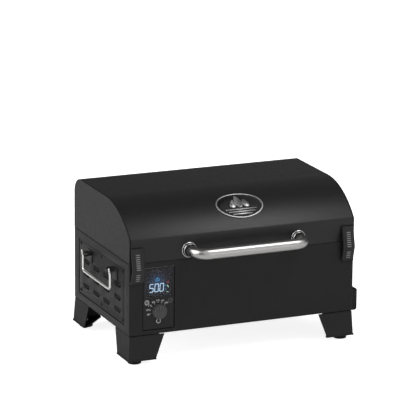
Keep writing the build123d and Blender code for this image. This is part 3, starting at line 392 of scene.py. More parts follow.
def copy_of(node, name, material, bevel=0.4, angle=32):
    """A copy of a CAD node with merged flat faces and rounded edges, which replaces it."""
    source = frame["nodes"][node]
    shape = bmesh.new()
    shape.from_mesh(source.data)
    bmesh.ops.remove_doubles(shape, verts=shape.verts, dist=1e-6)
    bmesh.ops.dissolve_limit(
        shape, angle_limit=radians(0.8), verts=shape.verts, edges=shape.edges, delimit={"NORMAL"}
    )
    body = source["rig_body"]
    finish_piece(shape, name, material, body, [node], bevel, angle)


def add_box(shape, low, high):
    """Box between two corners."""
    corners = []
    for x in (low[0], high[0]):
        for y in (low[1], high[1]):
            corners += [shape.verts.new((x, y, z)) for z in (low[2], high[2])]
    sides = [(0, 1, 3, 2), (4, 6, 7, 5), (0, 4, 5, 1), (2, 3, 7, 6), (0, 2, 6, 4), (1, 5, 7, 3)]
    for side in sides:
        shape.faces.new([corners[i] for i in side])


def box_shape(low, high):
    """New bmesh with one box in it."""
    shape = bmesh.new()
    add_box(shape, low, high)
    return shape


def add_prism(shape, outline, vector):
    """Prism from a closed outline of points, pushed along a vector."""
    near = [shape.verts.new(p) for p in outline]
    far = [shape.verts.new(Vector(p) + vector) for p in outline]
    shape.faces.new(near)
    shape.faces.new(list(reversed(far)))
    for i in range(len(near)):
        j = (i + 1) % len(near)
        shape.faces.new((near[i], far[i], far[j], near[j]))


def ring_of(centre, u, v, radius, count):
    """Points round a circle in the plane of u and v."""
    turns = [2 * pi * i / count for i in range(count)]
    return [centre + u * (radius * cos(t)) + v * (radius * sin(t)) for t in turns]


def bridge(shape, loops, closed_ends=True):
    """Skin a list of equal point loops, one after another."""
    rings = [[shape.verts.new(p) for p in loop] for loop in loops]
    count = len(rings[0])
    for near, far in zip(rings, rings[1:]):
        for i in range(count):
            j = (i + 1) % count
            shape.faces.new((near[i], near[j], far[j], far[i]))
    if closed_ends:
        shape.faces.new(list(reversed(rings[0])))
        shape.faces.new(rings[-1])
    return rings


def bridge_sheet(shape, loops):
    """Skin sections of bent sheet; each runs along one face of the sheet and back along the other."""
    rings = bridge(shape, loops, closed_ends=False)
    for ring in (rings[0], rings[-1]):
        for i in range(len(ring) // 2 - 1):
            shape.faces.new((ring[i], ring[-1 - i], ring[-2 - i], ring[i + 1]))


def bridge_round(shape, loops):
    """Skin a list of loops and join the last to the first."""
    bridge(shape, loops + loops[:1], closed_ends=False)
    bmesh.ops.remove_doubles(shape, verts=shape.verts, dist=1e-7)


def turned_loops(origin, axis, profile, count):
    """Circles round an axis; profile is a list of (radius, distance along the axis) in millimetres."""
    axis = Vector(axis).normalized()
    u = axis.orthogonal().normalized()
    v = axis.cross(u)
    return [ring_of(origin + axis * (along * MM), u, v, radius * MM, count) for radius, along in profile]


def add_turned(shape, origin, axis, profile, count=48):
    """Solid of revolution."""
    bridge(shape, turned_loops(origin, axis, profile, count))


def add_ring(shape, origin, axis, profile, count=48):
    """Closed ring of revolution: the profile's last point joins its first."""
    bridge_round(shape, turned_loops(origin, axis, profile, count))


def rounded_path(points, radius, steps=10):
    """Polyline through points in metres, with round corners."""
    path = [points[0]]
    for before, corner, after in zip(points, points[1:], points[2:]):
        into = (corner - before).normalized()
        out = (after - corner).normalized()
        half = into.angle(out) / 2
        start = corner - into * (radius * sin(half) / cos(half))
        centre = corner + (out - into).normalized() * (radius / cos(half))
        arm = start - centre
        axis = into.cross(out).normalized()
        for step in range(steps + 1):
            path.append(centre + Matrix.Rotation(2 * half * step / steps, 3, axis) @ arm)
    path.append(points[-1])
    return path


def end_places(point, heading, u, radius, turns):
    """Places of the circles that round off an end of a tube, at some angles of latitude."""
    places = []
    for turn in turns:
        reach = radius * sin(radians(turn))
        places.append((point + heading * reach, heading, u, radius * cos(radians(turn))))
    return places


def add_tube(shape, path, radius, count=32, dome=False):
    """Round rod along a path; dome rounds its two ends."""
    heading = (path[1] - path[0]).normalized()
    u = heading.orthogonal().normalized()
    places = []
    for index, point in enumerate(path):
        heading = (path[min(index + 1, len(path) - 1)] - path[max(index - 1, 0)]).normalized()
        u = (u - heading * u.dot(heading)).normalized()
        places.append((point, heading, u, radius))
    if dome:
        places = end_places(*places[0], (-75, -50, -25)) + places + end_places(*places[-1], (25, 50, 75))
    rings = [ring_of(point, u, heading.cross(u), wide, count) for point, heading, u, wide in places]
    bridge(shape, rings)


def cut(piece, cutters):
    """Subtract closed bmesh shapes from a piece."""
    for shape in cutters:
        bmesh.ops.recalc_face_normals(shape, faces=shape.faces)
        tool = mesh_object(shape, "cutter")
        modifier = piece.modifiers.new("cut", "BOOLEAN")
        modifier.operation = "DIFFERENCE"
        modifier.solver = "EXACT"
        modifier.object = tool
        apply_modifiers(piece)
        bpy.data.objects.remove(tool)


# === Body: one folded case with rounded corners, cut for the panels ===


def rounded_rectangle(low_x, low_y, high_x, high_y, radius, z):
    """Loop of points in metres round a rectangle with round corners, at one height."""
    steps = 5
    loop = []
    centres = [
        (high_x - radius, low_y + radius, -90),
        (high_x - radius, high_y - radius, 0),
        (low_x + radius, high_y - radius, 90),
        (low_x + radius, low_y + radius, 180),
    ]
    for centre_x, centre_y, start in centres:
        for step in range(steps + 1):
            turn = radians(start + 90 * step / steps)
            loop.append(Vector((centre_x + radius * cos(turn), centre_y + radius * sin(turn), z)))
    return loop


def make_case():
    """Folded case of four walls, cut for the fascia, service panel, drain and auger."""
    fold = 2.2 * MM
    wall = SHEET * MM
    outer = [rounded_rectangle(left, front, right, rear, fold, z) for z in (bottom, seam)]
    inner_low = (left + wall, front + wall, right - wall, rear - wall)
    inner = [rounded_rectangle(*inner_low, fold - wall, z) for z in (seam, bottom)]
    shape = bmesh.new()
    bridge_round(shape, outer + inner)
    case = plain_object(shape, "body_case", coat)
    gap = 1.6 * MM
    through = 10 * MM
    clear = 0.5 * MM
    drain_height = 16.5 * MM
    fascia_low, fascia_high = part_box("controller_fascia")
    service_low, service_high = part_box("service_panel")
    drain_low, drain_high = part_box("grease_drain")
    auger = middle("auger_tube")
    auger_hole = bmesh.new()
    hole_profile = [(25.5, 0), (25.5, 20)]
    add_turned(auger_hole, Vector((auger.x, rear - through, auger.z)), (0, 1, 0), hole_profile)
    cut(case, [
        box_shape(
            (fascia_low.x - gap, front - through, fascia_low.z - gap),
            (fascia_high.x + gap, front + through, fascia_high.z + gap),
        ),
        box_shape(
            (left - through, service_low.y - gap, service_low.z - 1.6 * gap),
            (left + through, service_high.y + 2.8 * gap, service_high.z + 0.4 * gap),
        ),
        box_shape(
            (right - through, drain_low.y - clear, drain_low.z - clear),
            (right + through, drain_high.y + clear, drain_low.z + drain_height),
        ),
        auger_hole,
    ])
    walls = ["body_front_panel", "body_rear_panel", "body_right_wall", "body_left_wall"]
    settle(case, "body", walls, bevel=0.35, angle=40)


def make_panel_frame():
    """Stepped frame behind the service panel."""
    low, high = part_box("service_panel")
    inner_face = left + (SHEET + 5) * MM
    lap = 6 * MM
    rim = 14 * MM
    ring = plain_object(
        box_shape(
            (inner_face, low.y - lap, low.z - lap),
            (inner_face + 1.2 * MM, high.y + lap, high.z + lap / 2),
        ),
        "service_panel_frame",
        coat,
    )
    cut(ring, [box_shape((left, low.y + rim, low.z + rim), (left + 20 * MM, high.y - rim, high.z - rim))])
    settle(ring, "body", bevel=0.2)


make_case()
make_panel_frame()

# === Service panel with hooded louvres, and its pan-head screws ===

LOUVRES = [(y, z) for y in (72.0, 140.0, 203.0, 268.0) for z in (44.0, 73.0, 104.0)]
LOUVRE_LENGTH = 40.0
LOUVRE_REACH = 3.8
LOUVRE_TOP = 5.2
LOUVRE_MOUTH = 0.6
LOUVRE_SLOT_LOW = -4.6
LOUVRE_SLOT_HALF = 17.0
LOUVRE_SHEET = 0.9
LOUVRE_LIFT = 0.02
SCREWS = [(y, z) for y in (40.0, 171.0, 302.0) for z in (28.0, 142.0)]


def louvre_section(share):
    """Reach of the hood out of the panel at its mouth, along its length from -1 to 1."""
    return LOUVRE_REACH * sqrt(max(0.0, 1 - abs(share) ** 5))


def add_louvre(shape, y, z):
    """A pressed hood: smooth at its top and ends, open along its lower edge."""
    steps = 14
    drops = 5
    rise = LOUVRE_TOP - LOUVRE_MOUTH
    sections = []
    for i in range(steps + 1):
        share = -1 + 2 * i / steps
        reach = louvre_section(share)
        face = []
        for j in range(drops + 1):
            drop = j / drops
            out = reach * sin(drop * pi / 2) + LOUVRE_LIFT
            face.append(at(-out, y + share * LOUVRE_LENGTH / 2, z + LOUVRE_TOP - rise * drop))
        back = [p + Vector((LOUVRE_SHEET * MM, 0, 0)) for p in face]
        sections.append(face + back[::-1])
    bridge_sheet(shape, sections)


def make_service_panel():
    """Plate with a slot under each louvre's hood."""
    low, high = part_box("service_panel")
    shape = bmesh.new()
    loops = []
    for x in (left, left + SHEET * MM):
        flat = rounded_rectangle(low.y, low.z, high.y, high.z, 2.0 * MM, x)
        loops.append([Vector((p.z, p.x, p.y)) for p in flat])
    bridge(shape, loops)
    panel = plain_object(shape, "service_panel_plate", coat)
    slots = []
    for y, z in LOUVRES:
        low_corner = at(-5, y - LOUVRE_SLOT_HALF, z + LOUVRE_SLOT_LOW)
        slots.append(box_shape(low_corner, at(5, y + LOUVRE_SLOT_HALF, z + LOUVRE_MOUTH + 0.6)))
    cut(panel, slots)
    settle(panel, "body", ["service_panel"], bevel=0.3)
    hoods = bmesh.new()
    for y, z in LOUVRES:
        add_louvre(hoods, y, z)
    finish_piece(hoods, "service_panel_louvres", coat, "body", angle=50)


def make_service_screws():
    """Pan-head screws with a cross recess."""
    shape = bmesh.new()
    profile = [(1.9, 4.0), (1.9, 0.0), (4.2, 0.0), (4.1, -0.8), (3.3, -1.5), (1.6, -1.8)]
    for y, z in SCREWS:
        add_turned(shape, at(0, y, z), (1, 0, 0), profile, count=24)
    screws = plain_object(shape, "service_panel_screw_heads", dark_screw)
    slots = []
    for half_y, half_z in ((1.9, 0.4), (0.4, 1.9)):
        slot = bmesh.new()
        for y, z in SCREWS:
            add_box(slot, at(-3, y - half_y, z - half_z), at(-1.0, y + half_y, z + half_z))
        slots.append(slot)
    cut(screws, slots)
    settle(screws, "body", ["service_panel_screws"])


make_service_panel()
make_service_screws()

# === Lid: rolled shell and two end caps set just inside its edge ===

ARC_RADIUS = 185.0
ARC_Y = 145.0
ARC_Z = (top - bottom) / MM - ARC_RADIUS
BEND_RADIUS = 10.0
REAR_RADIUS = 38.0
BEND_Z = ARC_Z + sqrt((ARC_RADIUS - BEND_RADIUS) ** 2 - (ARC_Y - BEND_RADIUS) ** 2)
LID_LOW = (lid_low - bottom) / MM
CAP_RIM_END = 2.3
WRAP_START = 3.5


def lid_outline(inset):
    """(y, z) points in millimetres round the lid's side, from its front edge over the top to the rear."""
    points = [(inset, LID_LOW)]
    start = atan2(BEND_Z - ARC_Z, BEND_RADIUS - ARC_Y)
    small = BEND_RADIUS - inset
    for step in range(9):
        turn = pi + (start - pi) * step / 8
        points.append((BEND_RADIUS + small * cos(turn), BEND_Z + small * sin(turn)))
    big = ARC_RADIUS - inset
    for step in range(1, 41):
        turn = start + (pi / 2 - start) * step / 40
        points.append((ARC_Y + big * cos(turn), ARC_Z + big * sin(turn)))
    corner = REAR_RADIUS - inset
    for step in range(17):
        turn = pi / 2 * (1 - step / 16)
        corner_z = ARC_Z + ARC_RADIUS - REAR_RADIUS + corner * sin(turn)
        points.append((depth - REAR_RADIUS + corner * cos(turn), corner_z))
    points.append((depth - inset, LID_LOW))
    return points


def make_lid_shell():
    """Rolled sheet that runs between the grooves of the two end caps."""
    shape = bmesh.new()
    section = lid_outline(0.0) + lid_outline(SHEET)[::-1]
    bridge_sheet(shape, [[at(x, y, z) for y, z in section] for x in (WRAP_START, width - WRAP_START)])
    finish_piece(shape, "lid_wrap", lid_coat, "lid", ["lid_shell"], bevel=0.35, angle=50)


def make_lid_end(name, node, side_x, inward):
    """Pressed end cap: flat face, raised rim, a groove before the shell, and a flange under it.

    Each section below lists (inset from the lid's outline, distance in from its side) in millimetres.
    """
    face = [(2.7, 0.5), (2.2, 0.1), (1.8, 0.0), (0.5, 0.0), (0.12, 0.15), (0.0, 0.55), (0.0, CAP_RIM_END)]
    groove = [(3.0, CAP_RIM_END), (3.0, 5.0), (1.55, 5.8), (1.55, 14.0)]
    inside = [(2.9, 14.0), (2.9, 6.4), (4.3, 5.6), (4.3, 1.9)]
    shape = bmesh.new()
    loops = []
    for inset, x in face + groove + inside:
        loops.append([at(side_x + inward * x, y, z) for y, z in lid_outline(inset)])
    bridge(shape, loops)
    finish_piece(shape, name, coat, "lid", [node], angle=30)


make_lid_shell()
make_lid_end("lid_cap_left", "lid_end_left", 0.0, 1)
make_lid_end("lid_cap_right", "lid_end_right", width, -1)

# === Lid handle: stainless tube, dark collars and stepped chrome bezels ===

HANDLE_RADIUS = 12.7
HANDLE_Z = (middle("lid_handle").z - bottom) / MM
HANDLE_XS = (145.0, 417.0)
HANDLE_OUT = -50.0
HANDLE_END = -17.0
HANDLE_BEND = 30.0


def make_handle():
    """Bent tube on two collars, inside chrome rings; profiles list (radius, distance out)."""
    shape = bmesh.new()
    low_x, high_x = HANDLE_XS
    corners = [
        at(low_x, HANDLE_END, HANDLE_Z),
        at(low_x, HANDLE_OUT, HANDLE_Z),
        at(high_x, HANDLE_OUT, HANDLE_Z),
        at(high_x, HANDLE_END, HANDLE_Z),
    ]
    path = rounded_path(corners, HANDLE_BEND * MM, steps=20)
    add_tube(shape, path, HANDLE_RADIUS * MM, count=64)
    tube = ["lid_handle"]
    finish_piece(shape, "handle_tube", tube_steel, "lid", tube, bevel=0.6, angle=50)
    collar = [(12.2, 4), (12.2, 9.5), (11.4, 10.5), (11.4, 16.2), (12.0, 17.0)]
    recess = [(14.8, 0.2), (16.0, 0.2), (16.0, 0.8), (14.8, 0.8)]
    outer_ring = [
        (15.9, 0.2), (18.0, 0.2), (18.0, 1.5), (17.6, 2.2), (16.95, 2.5), (16.3, 2.2), (15.9, 1.5),
    ]
    inner_ring = [
        (12.9, 0.2), (14.9, 0.2), (14.9, 5.0), (14.6, 6.2), (14.0, 6.8), (13.4, 6.6), (12.9, 5.6),
    ]
    collars = bmesh.new()
    bezels = bmesh.new()
    for x in HANDLE_XS:
        origin = at(x, 0, HANDLE_Z)
        add_turned(collars, origin, (0, -1, 0), collar)
        add_ring(collars, origin, (0, -1, 0), recess)
        add_ring(bezels, origin, (0, -1, 0), outer_ring, count=64)
        add_ring(bezels, origin, (0, -1, 0), inner_ring, count=64)
    finish_piece(collars, "handle_collars", dark_plastic, "lid", angle=40)
    finish_piece(bezels, "handle_bezel_rings", chrome, "lid", ["handle_bezels"], angle=45)


make_handle()

# === Lid badge: generic flame over grate bars on an oval plate that follows the curve ===

BADGE_X = 291.0
BADGE_ANGLE = 120.4
BADGE_HALF_WIDTH = 58.0
BADGE_HALF_HEIGHT = 39.0


def on_crown(u, v, lift):
    """Point on the lid's curve, in millimetres across, up and out from the badge's centre."""
    turn = radians(BADGE_ANGLE) - v / ARC_RADIUS
    radius = ARC_RADIUS + lift
    return at(BADGE_X + u, ARC_Y + radius * cos(turn), ARC_Z + radius * sin(turn))


def add_relief(shape, outline, low, high, edge=0.5):
    """Raised flat shape on the crown with a chamfered edge; outline holds (u, v) in order."""
    count = len(outline)
    centre_u = sum(p[0] for p in outline) / count
    centre_v = sum(p[1] for p in outline) / count
    loops = []
    for lift, pull in ((low, 0.0), (high - edge, 0.0), (high, edge)):
        loop = []
        for u, v in outline:
            reach = sqrt((u - centre_u) ** 2 + (v - centre_v) ** 2)
            share = 1 - pull / reach if reach > 1e-6 else 1
            near_u = centre_u + (u - centre_u) * share
            near_v = centre_v + (v - centre_v) * share
            loop.append(on_crown(near_u, near_v, lift))
        loops.append(loop)
    bridge(shape, loops)


def badge_oval():
    """Outline of the badge."""
    count = 72
    turns = [2 * pi * i / count for i in range(count)]
    return [(BADGE_HALF_WIDTH * cos(turn), BADGE_HALF_HEIGHT * sin(turn)) for turn in turns]


def flame(centre_u, base_v, half_width, height, lean):
    """Outline of one tongue of flame that leans to a side."""
    count = 28
    outline = []
    for i in range(count):
        turn = 2 * pi * i / count - pi / 2
        rise = (sin(turn) + 1) / 2
        narrow = (1 - rise) ** 0.55
        u = centre_u + half_width * cos(turn) * (0.35 + narrow) * 0.75 + lean * rise ** 2
        outline.append((u, base_v + height * rise))
    return outline


def make_badge():
    """Oval plate, its rim, three flames and three grate bars."""
    plate = bmesh.new()
    add_relief(plate, badge_oval(), 0.0, 1.2)
    finish_piece(plate, "badge_plate", badge_dark, "lid", ["lid_badge"], angle=50)
    rim = bmesh.new()
    wide_tall_lift = (
        (1.0, 1.0, 0.1),
        (1.0, 1.0, 1.6),
        (0.985, 0.98, 2.2),
        (0.95, 0.93, 2.2),
        (0.935, 0.91, 1.6),
        (0.935, 0.91, 0.9),
    )
    loops = []
    for wide, tall, lift in wide_tall_lift:
        loops.append([on_crown(u * wide, v * tall, lift) for u, v in badge_oval()])
    bridge_round(rim, loops)
    finish_piece(rim, "badge_rim", badge_metal, "lid", angle=50)
    relief = bmesh.new()
    for centre_u, half_width, height, lean in ((-17, 9, 25, 4), (0, 11, 38, -3), (17, 9, 25, -4)):
        add_relief(relief, flame(centre_u, -9, half_width, height, lean), 0.8, 2.3)
    half_tall = 1.6
    for row, half_long in ((-15.0, 38.0), (-21.5, 33.0), (-28.0, 24.0)):
        low_v, high_v = row - half_tall, row + half_tall
        bar = [(-half_long, low_v), (half_long, low_v), (half_long, high_v), (-half_long, high_v)]
        add_relief(relief, bar, 0.8, 2.2, edge=0.4)
    finish_piece(relief, "badge_flames", badge_metal, "lid", angle=50)


make_badge()

# === Latches: bent cover plates with folded sides and a column of grip bars ===

LATCH_PROFILE = [(-5.6, 124.4), (-14.0, 156.5), (-3.6, 205.0)]
LATCH_LEVELS = [
    124.5, 126.0, 131.0, 138.0, 145.0, 151.0, 154.9, 156.5,
    158.1, 163.0, 176.0, 190.0, 199.0, 203.4, 204.9,
]
LATCH_SPANS = {"left": (2.7, 32.2), "right": (527.8, 557.3)}
LATCH_SHEET = 1.3
LATCH_FLANGE = 3.4
LATCH_PIN_INSET = 5.3
LATCH_END_INSET = 0.8
GRIP_BAR_HALF_WIDTH = 5.0
GRIP_BAR_HALF_HEIGHT = 1.1
GRIP_BAR_THICKNESS = 0.7
GRIP_BAR_SUNK = 0.3
GRIP_BAR_GROUPS = ((131.0, 4), (158.5, 8))
GRIP_BAR_PITCH = 4.6


def latch_front(z):
    """Front face of the latch plate at a height."""
    (y0, z0), (y1, z1), (y2, z2) = LATCH_PROFILE
    if z <= z1:
        return y0 + (y1 - y0) * (z - z0) / (z1 - z0)
    return y1 + (y2 - y1) * (z - z1) / (z2 - z1)


def make_latch(side, low_x, high_x):
    """Bent cover plate with folded flanges, a barrel for its pin, and grip bars on its face."""
    shape = bmesh.new()
    fold = 1.6
    loops = []
    for z in LATCH_LEVELS:
        face = latch_front(z)
        inset = LATCH_END_INSET if z in (LATCH_LEVELS[0], LATCH_LEVELS[-1]) else 0.0
        deep = max(min(face + LATCH_FLANGE, -1.0), face + LATCH_SHEET + 0.1)
        outer = [(0.0, deep), (0.0, face + fold), (0.35 * fold, face + 0.35 * fold), (fold, face)]
        inner = [(LATCH_SHEET, face + LATCH_SHEET), (LATCH_SHEET, deep)]
        loop = [at(low_x + inset + x, y, z) for x, y in outer]
        loop += [at(high_x - inset - x, y, z) for x, y in outer[::-1] + inner[::-1]]
        loop += [at(low_x + inset + x, y, z) for x, y in inner]
        loops.append(loop)
    bridge(shape, loops)
    pin = middle("latch_pins")
    barrel = Vector((left + (low_x + LATCH_PIN_INSET) * MM, pin.y, pin.z))
    length = high_x - low_x - 2 * LATCH_PIN_INSET
    add_ring(shape, barrel, (1, 0, 0), [(1.4, 0), (2.4, 0), (2.4, length), (1.4, length)], count=24)
    body = "latch_" + side
    lever = "latch_lever_" + side
    finish_piece(shape, "latch_cover_" + side, latch_and_bracket_lift_coat, body, [lever], angle=35)
    bars = bmesh.new()
    bar_low_x = (low_x + high_x) / 2 - GRIP_BAR_HALF_WIDTH
    bar_high_x = bar_low_x + 2 * GRIP_BAR_HALF_WIDTH
    for start, count in GRIP_BAR_GROUPS:
        for index in range(count):
            low_z = start + index * GRIP_BAR_PITCH - GRIP_BAR_HALF_HEIGHT
            high_z = low_z + 2 * GRIP_BAR_HALF_HEIGHT
            low_y, high_y = latch_front(low_z) + GRIP_BAR_SUNK, latch_front(high_z) + GRIP_BAR_SUNK
            outline = [
                at(bar_low_x, low_y, low_z),
                at(bar_high_x, low_y, low_z),
                at(bar_high_x, high_y, high_z),
                at(bar_low_x, high_y, high_z),
            ]
            add_prism(bars, outline, Vector((0, -GRIP_BAR_THICKNESS * MM, 0)))
    finish_piece(bars, "latch_grip_bars_" + side, grip_metal, body, bevel=0.25)


for side, (low_x, high_x) in LATCH_SPANS.items():
    make_latch(side, low_x, high_x)

# === Carry handles: bent rods that turn in eyes on bracket plates ===

BAIL_RADIUS = 3.25
BAIL_GRIP_RADIUS = 4.3
BAIL_OUT = 15.0
BAIL_YS = (78.5, 248.0)
BAIL_TOP = 134.0
BAIL_DROP = 42.0
BAIL_END = 16.0
BAIL_BEND = 8.0
BAIL_KNEE = 121.0
BAIL_TIP = 139.0
BAIL_LEAN = 3.0


def make_bail(side, wall_x, outward):
    """Bent rod with a thicker grip along its low run, and a thinner tip that leans out past each eye."""
    x = wall_x + outward * BAIL_OUT
    low_y, high_y = BAIL_YS
    low_z = BAIL_TOP - BAIL_DROP
    corners = [
        at(x, low_y + BAIL_END, BAIL_TOP),
        at(x, low_y, BAIL_TOP),
        at(x, low_y, low_z),
        at(x, high_y, low_z),
        at(x, high_y, BAIL_TOP),
        at(x, high_y - BAIL_END, BAIL_TOP),
    ]
    shape = bmesh.new()
    add_tube(shape, rounded_path(corners, BAIL_BEND * MM, steps=10), BAIL_RADIUS * MM, count=24)
    span = high_y - low_y
    grip = [(BAIL_RADIUS, 3.5), (BAIL_GRIP_RADIUS - 0.2, 7.0), (BAIL_GRIP_RADIUS, 9.0)]
    grip += [(radius, span - along) for radius, along in reversed(grip)]
    add_turned(shape, at(x, low_y, low_z), (0, 1, 0), grip, count=28)
    for y in BAIL_YS:
        tip_path = [at(x, y, BAIL_KNEE), at(x + outward * BAIL_LEAN, y, BAIL_TIP)]
        add_tube(shape, tip_path, 0.8 * BAIL_RADIUS * MM, count=20, dome=True)
    node = "carry_handle_" + side
    finish_piece(shape, "bail_rod_" + side, rod_steel, "bail_" + side, [node], angle=50)


make_bail("left", 0.0, -1)
make_bail("right", width, 1)
# Painted light: the brackets take the lighter latch coat so that their shaded faces read as bright as the
# wall.
copy_of("carry_handle_brackets", "bail_brackets", latch_and_bracket_lift_coat, bevel=0.5)

# === Controller: fascia, knob, buttons, display ===

PANEL_X = 71.5
FACE_Y = 0.8
KNOB_Z = 53.0
FLUTES = 24
FLUTE_DEPTH = 0.8
INK_THICKNESS = 0.22
DIAL_RADIUS = 20.0
DIAL_START = 194.0
BUTTONS = {"left_button": (43.0, 75.0), "right_button": (100.5, 75.0), "power_button": (PANEL_X, 29.5)}
BUTTON_BODIES = {
    "left_button": "button_left",
    "right_button": "button_right",
    "power_button": "button_power",
}
BUTTON_PROFILE = [
    (1.5, -9.6), (1.5, -4.2), (4.4, -4.2), (4.4, -3.0), (3.55, -3.0),
    (3.55, 0.7), (3.2, 1.2), (2.4, 1.3), (1.2, 1.2),
]


def make_knob():
    """Turned knob with a fluted side, dished face and pointer line."""
    shape = bmesh.new()
    origin = at(PANEL_X, 0, KNOB_Z)
    out = Vector((0, -1, 0))
    u, v = Vector((1, 0, 0)), Vector((0, 0, 1))
    count = 144
    profile = [
        (16.9, 0.3, 0.0), (17.0, 1.2, 0.0), (17.0, 2.2, 0.0), (16.9, 2.6, 1.0), (16.8, 9.4, 1.0),
        (16.6, 10.6, 1.0), (16.0, 11.3, 0.0), (15.0, 11.6, 0.0), (13.8, 11.5, 0.0), (13.0, 11.0, 0.0),
        (4.0, 10.7, 0.0),
    ]
    loops = []
    for radius, along, flute in profile:
        loop = []
        for i in range(count):
            turn = 2 * pi * i / count
            depth_here = FLUTE_DEPTH * flute * (0.5 - 0.5 * cos(turn * FLUTES))
            spoke = u * cos(turn) + v * sin(turn)
            loop.append(origin + out * (along * MM) + spoke * ((radius - depth_here) * MM))
        loops.append(loop)
    bridge(shape, loops)
    finish_piece(shape, "knob_cap", knob_plastic, "knob", ["control_knob"], angle=38)
    pointer = box_shape(
        origin + Vector((-0.7, -11.9, 5.0)) * MM,
        origin + Vector((0.7, -10.5, 14.0)) * MM,
    )
    finish_piece(pointer, "knob_pointer", dim_ink, "knob", bevel=0.2)


def make_buttons():
    """Button caps: a ring mark on the power button and two bars on the others."""
    low, high = 1.1, 1.42
    for node, (x, z) in BUTTONS.items():
        origin = at(x, FACE_Y, z)
        body = BUTTON_BODIES[node]
        shape = bmesh.new()
        add_turned(shape, origin, (0, -1, 0), BUTTON_PROFILE, count=40)
        finish_piece(shape, node + "_cap", dark_plastic, body, [node], angle=40)
        mark = bmesh.new()
        if node == "power_button":
            ring = [(1.1, low), (1.4, low), (1.4, high), (1.1, high)]
            add_ring(mark, origin, (0, -1, 0), ring, count=32)
        else:
            for bar_z in (-0.9, 0.3):
                corner = origin + Vector((-1.7, -high, bar_z)) * MM
                add_box(mark, corner, corner + Vector((3.4, 0.3, 0.7)) * MM)
        ink = white_ink if node == "left_button" else dim_ink
        finish_piece(mark, node + "_mark", ink, body)


def make_bezel_rings():
    """Printed rings round the buttons on the fascia."""
    ring = [(4.0, -0.2), (5.6, -0.2), (5.4, 0.3), (4.2, 0.3)]
    for node, ink in (("power_button", white_ink), ("left_button", white_ink), ("right_button", dim_ink)):
        x, z = BUTTONS[node]
        shape = bmesh.new()
        add_ring(shape, at(x, FACE_Y, z), (0, -1, 0), ring)
        finish_piece(shape, node + "_ring", ink, "body", angle=50)


def add_stroke(shape, points, half, y):
    """Printed stroke along (x, z) points in millimetres; half is half its width, y the face it lies on."""
    for (x0, z0), (x1, z1) in zip(points, points[1:]):
        length = sqrt((x1 - x0) ** 2 + (z1 - z0) ** 2)
        nx, nz = -(z1 - z0) / length * half, (x1 - x0) / length * half
        ex, ez = (x1 - x0) / length * half * 0.6, (z1 - z0) / length * half * 0.6
        outline = [
            at(x0 - nx - ex, y, z0 - nz - ez),
            at(x1 - nx + ex, y, z1 - nz + ez),
            at(x1 + nx + ex, y, z1 + nz + ez),
            at(x0 + nx - ex, y, z0 + nz - ez),
        ]
        add_prism(shape, outline, Vector((0, -INK_THICKNESS * MM, 0)))


SEGMENTS = {
    "a": ((0, 1), (1, 1)), "b": ((1, 1), (1, 0.5)), "c": ((1, 0.5), (1, 0)), "d": ((0, 0), (1, 0)),
    "e": ((0, 0.5), (0, 0)), "f": ((0, 1), (0, 0.5)), "g": ((0, 0.5), (1, 0.5)),
}
DIGITS = {
    "0": "abcdef", "1": "bc", "2": "abged", "3": "abgcd", "4": "fgbc",
    "5": "afgcd", "6": "afgedc", "7": "abc", "8": "abcdefg", "9": "abcdfg",
}


def add_number(shape, text, x, z, wide, tall, gap, half, y, slant=0.08):
    """Seven-segment figures, each from short strokes."""
    shrink = half * 1.15
    for index, figure in enumerate(text):
        base = x + index * (wide + gap)
        for name in DIGITS[figure]:
            (u0, v0), (u1, v1) = SEGMENTS[name]
            x0, z0 = base + u0 * wide + v0 * tall * slant, z + v0 * tall
            x1, z1 = base + u1 * wide + v1 * tall * slant, z + v1 * tall
            length = sqrt((x1 - x0) ** 2 + (z1 - z0) ** 2)
            dx, dz = (x1 - x0) / length * shrink, (z1 - z0) / length * shrink
            add_stroke(shape, [(x0 + dx, z0 + dz), (x1 - dx, z1 - dz)], half, y)


def arc_points(x, z, radius, start, end, steps):
    """Points along an arc, between two angles in degrees."""
    turns = [radians(start + (end - start) * i / steps) for i in range(steps + 1)]
    return [(x + radius * cos(t), z + radius * sin(t)) for t in turns]


def radial_stroke(shape, turn, start, end, half):
    """Printed stroke that points away from the knob's centre, between two radii."""
    u, v = cos(radians(turn)), sin(radians(turn))
    points = [(PANEL_X + u * radius, KNOB_Z + v * radius) for radius in (start, end)]
    add_stroke(shape, points, half, FACE_Y)


def make_dial():
    """Dial figures and ticks round the knob."""
    figures = bmesh.new()
    for index, value in enumerate(("180", "225", "275", "325", "375", "425", "500")):
        turn = DIAL_START - index * 25.0
        radial_stroke(figures, turn, DIAL_RADIUS - 1.0, DIAL_RADIUS + 1.6, 0.45)
        label_x = PANEL_X + cos(radians(turn)) * (DIAL_RADIUS + 6.2)
        label_z = KNOB_Z + sin(radians(turn)) * (DIAL_RADIUS + 5.0)
        add_number(figures, value, label_x - 3.6, label_z - 1.5, 1.7, 3.2, 1.0, 0.34, FACE_Y, slant=0.0)
    ticks = bmesh.new()
    for index in range(36):
        if index % 5:
            radial_stroke(ticks, DIAL_START - index * 5.0, DIAL_RADIUS - 0.6, DIAL_RADIUS + 0.7, 0.22)
    finish_piece(figures, "dial_figures", white_ink, "body")
    finish_piece(ticks, "dial_ticks", dim_ink, "body")


